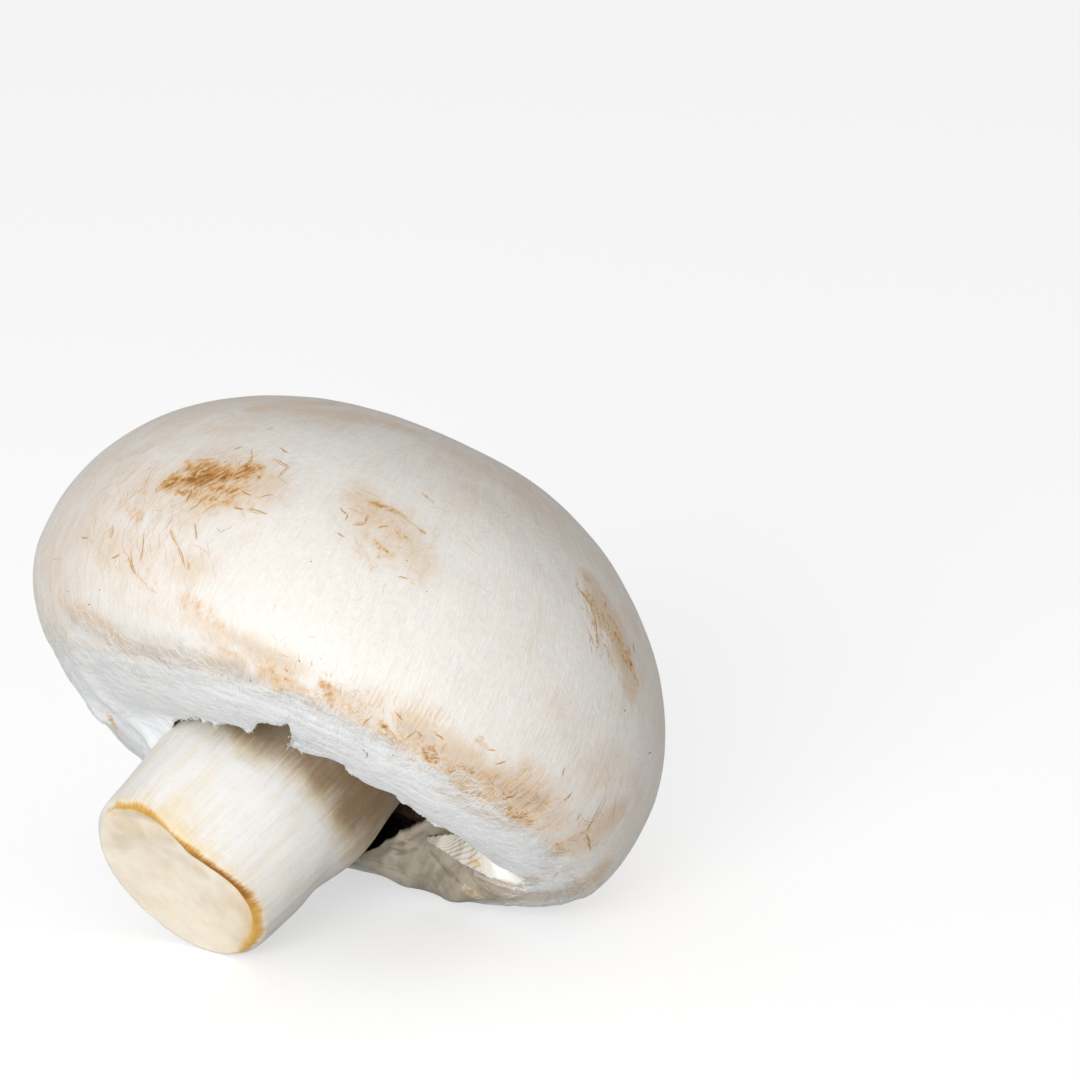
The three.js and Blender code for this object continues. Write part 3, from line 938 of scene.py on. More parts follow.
# %% Stains on the skin
# From x, y to x, y; half width; strength.
STAINS = [
    (466, 888, 482, 898, 9, 0.6), (128, 512, 142, 520, 6, 0.4), (186, 494, 236, 504, 12, 0.4),
    (157, 490, 178, 472, 4.5, 0.8), (156, 491, 157, 490, 1.6, 1.3), (170, 478, 181, 470, 3, 0.85),
    (186, 461, 197, 468, 4, 0.8), (197, 460, 216, 458, 1.8, 0.6), (193, 470, 190, 478, 3, 0.6),
    (192, 480, 209, 473, 5, 1), (196, 479, 200, 478, 3, 1.15), (213, 480, 229, 465, 4.5, 0.9),
    (219, 477, 223, 470, 3.2, 1.05), (223, 463, 227, 460, 2, 0.8), (237, 478, 223, 488, 7, 0.6),
    (204, 484, 214, 478, 4, 0.7), (246, 466, 252, 458, 2.8, 1), (246, 467, 248, 464, 2.6, 1.2),
    (252, 468, 265, 467, 3.2, 0.75), (258, 481, 263, 468, 2.4, 0.65), (177, 492, 189, 491, 3.8, 0.85),
    (185, 503, 192, 489, 2.2, 1), (180, 489, 176, 495, 3, 0.6), (187, 512, 202, 500, 1.8, 0.7),
    (203, 513, 217, 503, 1.6, 0.55), (240, 489, 252, 496, 2.2, 0.6), (260, 497, 273, 495, 1.5, 0.7),
    (233, 507, 243, 509, 2, 0.75), (247, 509, 268, 514, 1.8, 0.6), (250, 503, 253, 510, 2.6, 0.5),
    (228, 498, 236, 499, 2.4, 0.5), (190, 479, 226, 475, 17, 0.93), (168, 485, 184, 480, 12, 0.8),
    (236, 476, 256, 468, 13, 0.72), (200, 498, 232, 496, 17, 0.5), (200, 484, 240, 482, 40, 0.4),
    (188, 468, 214, 464, 10, 0.7), (214, 488, 236, 490, 10, 0.62), (190, 494, 204, 488, 8, 0.75),
    (111, 712, 119, 738, 7, 0.5), (110, 716, 116, 728, 6, 0.72), (118, 736, 128, 744, 6, 0.45),
    (104, 702, 110, 712, 7, 0.34), (586, 588, 596, 606, 5, 0.6), (594, 604, 604, 628, 6, 0.66),
    (604, 624, 612, 640, 5, 0.7), (614, 634, 628, 654, 7, 0.7), (622, 650, 632, 672, 6, 0.75),
    (606, 646, 614, 668, 5, 0.5), (592, 616, 598, 644, 4, 0.5), (630, 664, 638, 684, 5, 0.55),
    (598, 590, 608, 600, 4, 0.5), (618, 676, 626, 690, 5, 0.4), (256, 664, 270, 674, 12, 0.26),
    (274, 672, 296, 688, 13, 0.32), (298, 690, 322, 702, 12, 0.26), (326, 700, 352, 718, 12, 0.3),
    (352, 716, 384, 736, 12, 0.3), (384, 734, 420, 752, 13, 0.34), (424, 752, 462, 778, 14, 0.36),
    (470, 782, 500, 802, 16, 0.4), (352, 498, 410, 540, 22, 0.24), (366, 534, 392, 556, 12, 0.26),
    (134, 508, 142, 518, 8, 0.34), (126, 560, 150, 590, 10, 0.2), (140, 604, 230, 630, 18, 0.2),
    (76, 606, 120, 636, 14, 0.28), (280, 447, 288, 453, 1.8, 0.6), (274, 459, 290, 468, 1.4, 0.5),
    (278, 477, 288, 467, 1.3, 0.6), (270, 478, 281, 478, 2.5, 0.3), (266, 429, 274, 427, 2, 0.35),
    (234, 450, 242, 447, 1.4, 0.5),
    # long drips below the bruise, and the skin to its left
    (170, 530, 178, 546, 2.6, 0.5), (178, 546, 185, 566, 1.6, 0.5), (188, 569, 189, 564, 2.6, 0.7),
    (144, 533, 140, 562, 1.6, 0.5), (128, 557, 136, 575, 2, 0.5), (140, 511, 142, 514, 5.5, 0.5),
    (112, 527, 111, 537, 3.8, 0.6), (81, 538, 87, 539, 1.5, 0.85), (82, 534, 84, 536, 6, 0.35),
    (111, 559, 120, 555, 1.5, 0.65), (52, 560, 62, 558, 2.4, 0.3), (147, 569, 148, 571, 2.6, 0.6),
    (153, 578, 158, 588, 3.2, 0.36), (194, 524, 197, 540, 1.3, 0.6), (131, 549, 134, 575, 1.5, 0.42),
    (120, 500, 135, 520, 10, 0.25), (155, 540, 160, 555, 8, 0.25), (105, 480, 130, 470, 8, 0.22),
    (95, 545, 110, 570, 10, 0.22), (130, 455, 142, 452, 3, 0.32), (128, 466, 150, 460, 3, 0.25),
    # down the shoulder on the left
    (108, 622, 124, 638, 8, 0.42), (112, 626, 120, 640, 3, 0.42), (70, 608, 75, 628, 7, 0.34),
    (190, 600, 222, 628, 15, 0.3), (180, 590, 186, 612, 4, 0.34), (218, 648, 236, 657, 5, 0.45),
    (232, 652, 240, 660, 3.5, 0.42), (268, 660, 280, 690, 9, 0.4), (284, 668, 291, 673, 3.5, 0.55),
    (281, 676, 289, 680, 3, 0.6), (296, 684, 306, 692, 6, 0.46), (204, 652, 207, 664, 3, 0.3),
    (223, 672, 226, 678, 3.5, 0.34), (300, 700, 312, 706, 3, 0.34),
    # the border above the torn edge
    (322, 684, 332, 698, 7, 0.72), (320, 680, 335, 690, 4, 0.5), (314, 702, 320, 712, 4, 0.4),
    (349, 708, 358, 724, 7, 0.46), (362, 727, 372, 716, 2.2, 0.5), (380, 721, 385, 728, 4.5, 0.72),
    (387, 728, 395, 738, 2.4, 0.65), (394, 738, 418, 743, 6, 0.5), (405, 740, 417, 731, 1.5, 0.6),
    (417, 731, 423, 737, 1.2, 0.55), (421, 739, 418, 747, 2.4, 0.66), (428, 747, 434, 762, 6, 0.82),
    (426, 755, 429, 759, 2.6, 1), (434, 763, 437, 762, 1.8, 1.05), (435, 734, 444, 740, 1.8, 0.8),
    (396, 712, 403, 720, 2, 0.72), (477, 740, 486, 747, 4.5, 0.5), (487, 749, 496, 750, 1.5, 0.5),
    (448, 772, 457, 767, 3.2, 0.75), (450, 772, 452, 771, 2, 1), (465, 768, 477, 772, 4.5, 0.7),
    (469, 771, 475, 773, 2.2, 0.8), (457, 767, 466, 767, 1.6, 0.5), (495, 764, 506, 761, 2.2, 0.6),
    (487, 777, 494, 786, 2.6, 0.55), (497, 798, 512, 798, 3.8, 0.7), (503, 800, 514, 797, 1.8, 1),
    (509, 795, 512, 791, 1.6, 0.75), (515, 819, 526, 814, 5.5, 0.85), (518, 818, 521, 815, 2.8, 1.05),
    (498, 813, 508, 812, 6, 0.42), (537, 828, 550, 825, 4.5, 0.42), (488, 782, 540, 804, 27, 0.46),
    (524, 766, 548, 800, 20, 0.3), (452, 782, 490, 800, 14, 0.42), (400, 735, 470, 772, 12, 0.36),
    (470, 772, 500, 780, 12, 0.46), (508, 808, 530, 822, 12, 0.52), (555, 846, 584, 832, 5.5, 0.62),
    (552, 848, 572, 852, 5.5, 0.42), (554, 845, 559, 844, 2.2, 0.75), (537, 868, 548, 868, 3.2, 0.5),
    (563, 776, 565, 767, 1.8, 0.55), (565, 800, 572, 792, 1.8, 0.6), (565, 801, 566, 799, 1.8, 0.85),
    (576, 821, 580, 813, 1.8, 0.6), (587, 834, 590, 849, 2, 0.7), (603, 800, 588, 831, 1.8, 0.66),
    (648, 755, 652, 752, 2.2, 0.5), (553, 877, 559, 872, 1.8, 0.5),
    # the middle of the cap
    (368, 500, 407, 517, 2.6, 0.58), (371, 502, 387, 507, 1.8, 0.6), (355, 492, 367, 498, 3.5, 0.36),
    (341, 508, 347, 514, 1.5, 0.6), (347, 513, 346, 520, 1.3, 0.5), (353, 525, 366, 523, 1.9, 0.6),
    (366, 523, 369, 515, 1.3, 0.6), (370, 522, 383, 522, 2.6, 0.6), (378, 528, 389, 526, 1.9, 0.6),
    (395, 530, 408, 541, 3.2, 0.56), (404, 536, 407, 539, 2.2, 0.75), (417, 528, 425, 533, 2.5, 0.56),
    (423, 532, 425, 534, 1.5, 0.75), (372, 540, 380, 545, 3.4, 0.44), (378, 547, 388, 550, 3.4, 0.66),
    (387, 550, 389, 552, 2.2, 0.85), (380, 557, 388, 553, 3.2, 0.56), (337, 532, 345, 537, 1.8, 0.55),
    (406, 561, 408, 561, 1.6, 0.7), (392, 567, 397, 570, 3.4, 0.36), (398, 577, 408, 579, 1.8, 0.55),
    (422, 493, 433, 503, 2.4, 0.44), (361, 471, 366, 472, 3, 0.34), (360, 548, 372, 570, 9, 0.24),
    (355, 500, 410, 540, 22, 0.22), (345, 482, 366, 480, 5, 0.26),
    # the right side
    (582, 592, 588, 600, 3.4, 0.75), (588, 600, 597, 600, 2.4, 0.6), (590, 602, 592, 612, 2.2, 0.7),
    (582, 606, 583, 610, 2.4, 0.5), (594, 609, 597, 643, 2, 0.6), (597, 646, 598, 648, 2, 0.85),
    (590, 633, 590, 643, 1.9, 0.6), (605, 602, 606, 610, 2.3, 0.75), (609, 614, 622, 640, 6, 0.6),
    (616, 632, 620, 641, 4, 0.85), (628, 646, 630, 656, 2, 0.7), (633, 644, 635, 653, 1.7, 0.95),
    (631, 661, 632, 671, 3, 1.1), (625, 656, 626, 668, 2.4, 0.5), (627, 674, 628, 680, 3.2, 0.4),
    (583, 575, 590, 582, 1.6, 0.55), (590, 598, 624, 660, 13, 0.42), (588, 600, 600, 622, 8, 0.42),
    (500, 887, 600, 880, 22, 0.2), (624, 709, 626, 711, 2, 0.7),
    # on the curled edge
    (464, 889, 474, 894, 3, 0.7), (474, 896, 486, 902, 4.5, 0.6),
]
THIN = 2.3  # half width; thinner strokes can't be held by the grid and are drawn as threads later
paint_strokes("stain", [row for row in STAINS if row[4] >= THIN], FAR_STAINS)

# %% [markdown]
# The skin isn't one white. It is painted warmer and darker where it is older, and also as painted shade towards
# the top, the edges and where it turns under; greyer along the border, partly from rubbed-in dirt and partly as
# painted shade where the shoulder turns under; and rippled by fine pleats where it was stretched over the rim.
# Each is a layer of wide, weak strokes.

# %% Warm, scuffed and rippled skin, with painted shade
# Warm strokes lie mostly on the top, the edges and the shoulder where the cap turns under: partly older skin,
# partly painted shade.
WARM_AND_SHADE_STROKES = [
    (290, 408, 420, 434, 30, 0.85), (420, 436, 500, 476, 34, 0.7), (400, 716, 476, 762, 20, 1.2),
    (230, 636, 300, 670, 16, 0.9), (360, 500, 420, 560, 40, 0.9), (470, 450, 560, 520, 50, 0.6),
    (150, 486, 262, 486, 56, 0.95), (90, 540, 200, 570, 38, 0.62), (60, 600, 108, 628, 18, 0.8),
    (122, 458, 250, 428, 18, 0.75), (300, 412, 430, 440, 22, 0.7), (350, 500, 410, 550, 34, 0.7),
    (490, 780, 556, 824, 34, 0.98), (440, 740, 500, 788, 20, 0.78), (330, 690, 420, 736, 14, 0.8),
    (548, 842, 596, 822, 22, 0.8), (596, 600, 636, 680, 22, 0.7), (610, 740, 640, 800, 26, 0.5),
    (184, 600, 228, 650, 20, 0.65), (262, 672, 300, 690, 14, 0.85), (375, 700, 440, 722, 22, 0.6),
    (560, 700, 610, 790, 32, 0.45), (520, 880, 600, 872, 30, 1.5), (480, 886, 566, 892, 26, 1.5),
    (110, 640, 240, 664, 16, 1.1), (470, 850, 530, 880, 24, 1.2), (440, 790, 520, 830, 14, 0.9),
    (560, 850, 620, 810, 26, 1.2), (380, 420, 520, 490, 40, 0.6), (250, 410, 330, 404, 24, 0.9),
    (590, 580, 632, 690, 26, 1.2),
]
# Scuffs: grey along the shoulder where the cap turns under, partly rubbed-in dirt and partly painted shade.
SCUFFS_AND_SHADE = [
    (400, 725, 460, 755, 14, 0.5), (236, 640, 290, 664, 12, 0.45), (78, 616, 180, 642, 15, 0.55),
    (460, 770, 540, 800, 24, 0.6), (420, 745, 470, 775, 12, 0.5), (466, 772, 512, 796, 16, 0.5),
    (596, 596, 626, 672, 14, 0.5), (100, 636, 180, 656, 14, 0.9), (180, 650, 256, 680, 13, 0.8),
    (66, 612, 104, 640, 12, 0.8), (256, 682, 330, 712, 8, 0.6), (110, 646, 236, 666, 11, 0.95),
    (62, 646, 100, 672, 12, 0.6), (110, 634, 124, 648, 8, 0.8), (330, 718, 420, 750, 7, 0.55),
    (440, 784, 540, 800, 8, 0.45), (204, 648, 210, 668, 6, 0.9), (236, 658, 250, 682, 8, 0.8),
    (168, 654, 200, 668, 7, 0.8), (300, 706, 350, 724, 7, 0.55), (430, 774, 470, 792, 8, 0.55),
    (250, 680, 300, 704, 6, 0.5), (500, 880, 600, 884, 12, 0.7),
]
RIPPLES = [
    (362, 698, 446, 722, 20, 0.95), (72, 606, 128, 640, 18, 0.8), (190, 598, 240, 642, 16, 0.55),
    (256, 676, 300, 696, 10, 0.8), (306, 690, 352, 704, 10, 0.6), (130, 540, 192, 562, 14, 0.3),
    (480, 704, 560, 742, 16, 0.25), (330, 670, 420, 680, 16, 0.3),
]
paint_strokes("warm_and_shade", WARM_AND_SHADE_STROKES, WARM_AND_SHADE_ZONES)
paint_strokes("scuff_and_shade", SCUFFS_AND_SHADE, FAR_SCUFFS_AND_SHADE)
paint_strokes("ripple", RIPPLES, FAR_RIPPLES)

# %% [markdown]
# The cut face of the stem has painted shade in its hollow and a few brown touches, the creases of the veil's
# curled edge have painted shadow, and the end of the strip is ochre. The worst stains are then pressed in by a
# tenth of a millimetre, as bruised flesh sinks when it dries.

# %% Tints and painted shade of the cut face, painted shadow in the creases, and sunken stains
# The cut face: painted shade in its hollow, and a few brown touches.
TINTS_AND_SHADE = [
    (120, 826, 142, 832, 22, 0.6), (126, 826, 134, 829, 12, 0.5), (136, 829, 170, 840, 16, 0.5),
    (126, 836, 122, 848, 20, 0.45), (130, 850, 164, 864, 28, 0.3), (195, 868, 205, 875, 14, 0.4),
    (222, 886, 244, 918, 18, 0.4), (240, 905, 252, 930, 16, 0.5), (106, 824, 116, 814, 14, 0.25),
    (242, 934, 236, 945, 18, 0.35), (150, 842, 200, 872, 14, 0.34), (212, 900, 236, 926, 30, 0.2),
]
stem_cut = read(stem.data.attributes["cut"].data, "value", 1, np.float32)[:, 0]
keep(stem, "tint_and_shade", brushed(lying(stem), TINTS_AND_SHADE, front_surfaces[-1:]) * stem_cut)
# Painted shadow in the creases of the veil's curled edge.
CREASE_SHADOWS = [
    (374, 857, 396, 843, 7, 0.7), (398, 854, 404, 843, 3.4, 0.9), (404, 843, 424, 831, 3, 0.8),
    (399, 854, 417, 849, 3, 0.8), (417, 849, 428, 841, 2.6, 0.6), (431, 851, 443, 867, 3, 0.7),
    (443, 867, 463, 885, 3.4, 0.6), (381, 869, 379, 858, 3.4, 0.8), (408, 878, 399, 865, 3.6, 0.6),
    (420, 884, 436, 890, 5, 0.4), (390, 872, 394, 860, 2.6, 0.5),
]
OCHRE_TOUCHES = [(463, 868, 478, 872, 6, 1.0), (470, 862, 480, 866, 5, 0.6)]
keep(veil, "crease_shadow", brushed(lying(veil), CREASE_SHADOWS, front_surfaces))
keep(strip, "ochre", brushed(lying(strip), OCHRE_TOUCHES, front_surfaces))
PRESSED_IN = 0.11


def press_in(piece):
    """Sinks the stained points of a piece along its own directions."""
    stain = read(piece.data.attributes["stain"].data, "value", 1, np.float32)
    facing = read(piece.data.vertex_normals, "vector")
    rough = 0.75 + 0.5 * lumps(lying(piece) / MM, 0.5, 51)[:, None]
    places = lying(piece) - PRESSED_IN * MM * facing * smooth(stain, 0.35, 1.1) * rough
    places[:, 2] = np.maximum(places[:, 2], 0)
    piece.data.vertices.foreach_set("co", places.ravel())


press_in(cap)
press_in(veil)
print("stains pressed in by up to", PRESSED_IN, "mm")

# %% [markdown]
# Loose threads: a mushroom's skin is a felt, and where it is scuffed its threads come loose, dry and turn
# brown. They are about 0.1 mm wide, too fine for the mesh of the skin, and a drawn pattern couldn't be
# steered to lie as they do. So each one is a tapered ribbon of its own, laid on the skin from outside by a
# ray towards the middle of the cap.

# %% Helpers that lay threads
FROM_OUTSIDE = 0.05  # metres from the middle of the cap at which the rays start
THREAD_STEPS = 9
ALONG = np.linspace(-0.5, 0.5, THREAD_STEPS)


def scatter_threads(rng, clusters):
    """Directions of each thread's points from the middle of the cap, and each thread's width and tone."""
    found = []
    for azimuth, elevation, reach, breadth, slant, count, lie, spread, length, width, tone in clusters:
        centre, east = toward(azimuth, elevation), at(np.radians(azimuth + 90), 1.0, 0.0)
        north = np.cross(centre, east)
        u, v = rng.normal(0, 0.6, (2, count)) * [[reach], [breadth]]
        tilt = np.radians(slant)
        heading = np.radians(lie + spread * rng.normal(0, 1, count))[:, None]
        bend, wave = rng.normal(0, 0.8, (count, 1)), rng.uniform(0, TURN, (count, 1))
        turn = heading + bend * ALONG + 0.3 * np.sin(8 * ALONG + wave)
        step = length * rng.uniform(0.45, 1.5, (count, 1)) / (THREAD_STEPS - 1)
        way = np.stack([np.cos(turn), np.sin(turn)])
        start = np.stack([
            u * np.cos(tilt) - v * np.sin(tilt), u * np.sin(tilt) + v * np.cos(tilt),
        ])[..., None]
        x, y = start + np.cumsum(way, 2) * step - np.mean(way, 2, keepdims=True) * step * (THREAD_STEPS // 2)
        path = unit(centre + (x[..., None] * east + y[..., None] * north) / CAP_RADIUS)
        widths = width * rng.uniform(0.6, 1.4, count)
        found.append((path, widths, np.clip(tone + 0.09 * rng.normal(0, 1, count) * (tone > 0.1), 0, 1)))
    return [np.concatenate(column) for column in zip(*found)]


def drop_on(surfaces, directions):
    """Where rays from outside first meet the surfaces, and which way the surface faces there."""
    ways = turn_over(directions).reshape(-1, 3)
    points, faces = np.zeros(ways.shape), np.zeros(ways.shape)
    for i, way in enumerate(ways):
        points[i], faces[i] = first_hit(surfaces, Vector(PLACE + way * FROM_OUTSIDE), -way)
    return points.reshape(directions.shape), faces.reshape(directions.shape)


def ribbons(name, points, facing, widths, tones, rise):
    """A tapered ribbon with a raised middle along each row of points, which are in metres."""
    across = unit(np.cross(facing, np.gradient(points, axis=1)))
    half = widths[:, None, None] / 2 * MM * np.maximum(1 - (2 * ALONG) ** 2, 0.003)[None, :, None] ** 0.7
    low = -0.02 * MM * facing
    left, right = points + across * half + low, points - across * half + low
    corners = np.stack([left, points + facing * rise * MM, right], 2)
    corners[..., 2] = np.maximum(corners[..., 2], 0)
    index = np.arange(corners.size // 3).reshape(corners.shape[:3])
    here, after = index[:, :-1], index[:, 1:]
    quads = [np.stack([here[..., k + 1], after[..., k + 1], after[..., k], here[..., k]], -1) for k in (0, 1)]
    print(name, "has", len(points), "threads")
    faces = np.concatenate(quads).reshape(-1, 4).tolist()
    return new_piece(name, corners.reshape(-1, 3), faces, {"tone": np.repeat(tones, THREAD_STEPS * 3)})


# %% [markdown]
# Threads on the skin. The ones that catch the eye are drawn one by one, from place to place in the camera's
# view, each with a bow. The rest are scattered in clusters with a place, a spread, a count and the way they
# lie. A thread's tone is white when fresh, then tan, brown, and nearly black at the worst of a bruise.

# %% Where threads lie on the skin
# From x, y to x, y; bow to the side; width; tone.
LINES = [
    (136, 574, 148, 588, 0.5, 1, 0.42), (148, 588, 158, 593, -0.5, 0.9, 0.4),
    (163, 540, 166, 566, 1, 0.8, 0.34), (150, 536, 152, 560, -0.8, 0.8, 0.34),
    (174, 556, 172, 578, 0.6, 0.8, 0.34), (200, 548, 204, 572, 0.6, 0.7, 0.3),
    (212, 560, 216, 584, 0.5, 0.7, 0.28), (183, 576, 190, 602, 0.8, 0.8, 0.3),
    (124, 528, 121, 546, 0.8, 0.9, 0.36), (104, 536, 100, 556, -0.8, 0.9, 0.34),
    (136, 540, 128, 552, 0.6, 0.8, 0.34), (96, 560, 104, 580, 0.8, 0.8, 0.3),
    (604, 744, 600, 762, 0.6, 0.7, 0.2), (612, 752, 606, 774, -0.6, 0.7, 0.22),
    (622, 770, 618, 794, 0.6, 0.7, 0.24), (618, 796, 610, 814, 0.6, 0.7, 0.3),
    (590, 730, 596, 714, 0.5, 0.6, 0.2), (560, 745, 567, 731, 0.5, 0.6, 0.2),
    (572, 762, 581, 746, -0.5, 0.7, 0.22), (628, 812, 620, 832, 0.6, 0.7, 0.24),
    (540, 742, 548, 728, 0.5, 0.6, 0.2), (584, 770, 592, 752, 0.5, 0.7, 0.24),
    (630, 700, 633, 718, 0.4, 0.6, 0.22), (346, 508, 362, 514, 1, 1, 0.4),
    (356, 488, 380, 498, 0.8, 1.1, 0.36), (394, 510, 422, 530, -0.8, 1, 0.4),
    (372, 538, 384, 550, 0.6, 1.2, 0.4), (340, 507, 347, 514, -1.2, 1.1, 0.6),
    (347, 514, 345, 521, 0.5, 0.9, 0.5), (352, 525, 366, 523, 1.5, 1.2, 0.5),
    (366, 523, 368, 514, 1.5, 1, 0.62), (371, 501, 388, 507, -0.6, 1.3, 0.5),
    (385, 506, 406, 517, 0.5, 1.1, 0.45), (378, 529, 389, 526, 1, 1.1, 0.5),
    (262, 497, 273, 495, 0.8, 1.1, 0.66), (255, 496, 262, 498, -0.5, 0.9, 0.5),
    (234, 507, 245, 510, 0.5, 1.1, 0.6), (247, 510, 268, 514, -0.8, 0.9, 0.5),
    (274, 459, 289, 468, -1.2, 1.1, 0.62), (278, 478, 288, 467, 1.2, 1, 0.66),
    (283, 463, 290, 468, 0.5, 0.9, 0.7), (280, 447, 288, 452, -0.6, 1.2, 0.6),
    (233, 451, 243, 447, 0.6, 1, 0.6), (251, 449, 252, 458, 0.5, 1, 0.7),
    (217, 527, 222, 533, -0.8, 0.9, 0.55), (222, 533, 226, 529, 1, 0.9, 0.55),
    (226, 529, 232, 526, -0.8, 0.9, 0.5), (194, 523, 195, 532, 1, 1.1, 0.6),
    (195, 531, 197, 540, -0.6, 1, 0.62), (192, 545, 210, 558, 3, 0.8, 0.4),
    (170, 529, 178, 546, -1.2, 1.4, 0.45), (178, 546, 185, 567, -1, 1.2, 0.48),
    (188, 562, 189, 571, 0.4, 1.8, 0.55), (145, 532, 143, 546, -0.8, 1.1, 0.45),
    (143, 546, 140, 562, 0.8, 1, 0.5), (128, 556, 136, 576, 1.2, 1.2, 0.48),
    (159, 532, 158, 552, 0.8, 0.9, 0.38), (206, 541, 209, 560, 1.2, 0.8, 0.34),
    (241, 505, 246, 520, -1, 0.9, 0.38), (113, 524, 111, 539, 0.8, 1.6, 0.5),
    (111, 559, 120, 554, -0.8, 1.1, 0.58), (81, 538, 88, 538, 0.2, 1.3, 0.75),
    (52, 560, 60, 558, 0.4, 1, 0.24), (99, 591, 100, 589, 0, 1.6, 0.8), (88, 605, 90, 604, 0, 1.4, 1),
    (300, 662, 299, 660, 0, 1.6, 1), (67, 592, 69, 591, 0, 1.4, 0.6), (212, 674, 213, 675, 0, 2, 0.72),
    (250, 679, 251, 682, 0, 2, 0.8), (285, 669, 288, 672, 0, 1.8, 0.6), (426, 592, 427, 591, 0, 1.2, 0.85),
    (311, 561, 312, 562, 0, 1.6, 1), (639, 760, 640, 759, 0, 1.2, 0.85), (363, 749, 368, 753, -1.2, 2.6, 1),
    (367, 752, 366, 759, 0.6, 2.4, 1), (405, 741, 417, 731, 0.6, 1.2, 0.5),
    (417, 731, 423, 737, 0.3, 1.1, 0.6), (435, 734, 444, 740, 0.5, 1.5, 0.66),
    (396, 712, 403, 720, -0.6, 1.5, 0.62), (387, 728, 397, 741, 1.2, 1.2, 0.5),
    (448, 772, 458, 767, -1.2, 1.5, 0.66), (502, 800, 514, 797, 1.6, 1.4, 0.72),
    (508, 795, 512, 791, 0.3, 1.2, 0.6), (487, 777, 495, 787, 0.8, 1, 0.55),
    (605, 796, 602, 808, 0.8, 1.1, 0.66), (602, 808, 596, 820, -0.6, 1.2, 0.72),
    (596, 820, 587, 831, -1.8, 1.6, 0.85), (586, 833, 587, 843, 0.6, 1.1, 0.62),
    (587, 843, 591, 851, 0.8, 1.7, 0.72), (581, 813, 593, 822, -4, 0.8, 0.5),
    (577, 820, 580, 812, -0.6, 1.3, 0.6), (579, 828, 581, 820, 0.4, 0.9, 0.5),
    (615, 796, 612, 824, 0.6, 0.9, 0.5), (563, 776, 565, 767, 0.4, 1, 0.55),
    (565, 801, 573, 792, 0.6, 1.1, 0.6), (553, 878, 559, 871, 0.3, 1, 0.6),
    (594, 790, 598, 782, 0.4, 0.9, 0.5), (606, 790, 610, 776, 0.8, 0.8, 0.45),
    (431, 811, 440, 811, -1, 1.2, 0.5), (584, 574, 590, 582, 0.4, 1.1, 0.5),
    (633, 643, 635, 653, 0.4, 1.3, 0.8), (628, 645, 630, 656, -0.3, 1, 0.6), (594, 608, 597, 642, 1, 1, 0.45),
    (350, 434, 362, 440, 0.5, 1, 0.3), (240, 430, 270, 429, 1.2, 1.1, 0), (364, 419, 370, 425, 0, 2.4, 0),
    (336, 482, 362, 499, 0.8, 1.5, 0), (388, 457, 411, 472, -0.6, 1.7, 0), (463, 538, 472, 546, 0, 2.2, 0),
    (417, 438, 421, 448, 0.6, 1.7, 0), (340, 416, 372, 432, -1.2, 1, 0), (372, 425, 395, 434, 0.8, 1, 0),
    (384, 451, 400, 462, 0.8, 1.1, 0), (392, 492, 402, 500, 0.5, 0.9, 0), (120, 630, 140, 650, 1, 1.1, 0),
    (96, 627, 130, 668, 2, 1.2, 0), (62, 640, 120, 690, 4, 1.1, 0), (165, 650, 188, 668, -1.5, 1.2, 0),
    (198, 640, 222, 662, 1.5, 1.4, 0), (395, 755, 414, 752, 1.5, 1.4, 0.1), (500, 828, 507, 832, 0.5, 1.6, 0),
    (504, 833, 509, 824, 0.5, 1.6, 0), (525, 852, 548, 848, 2, 1.4, 0.05), (470, 803, 490, 806, 1, 1.5, 0),
    (548, 860, 580, 858, 2, 1.2, 0),
]
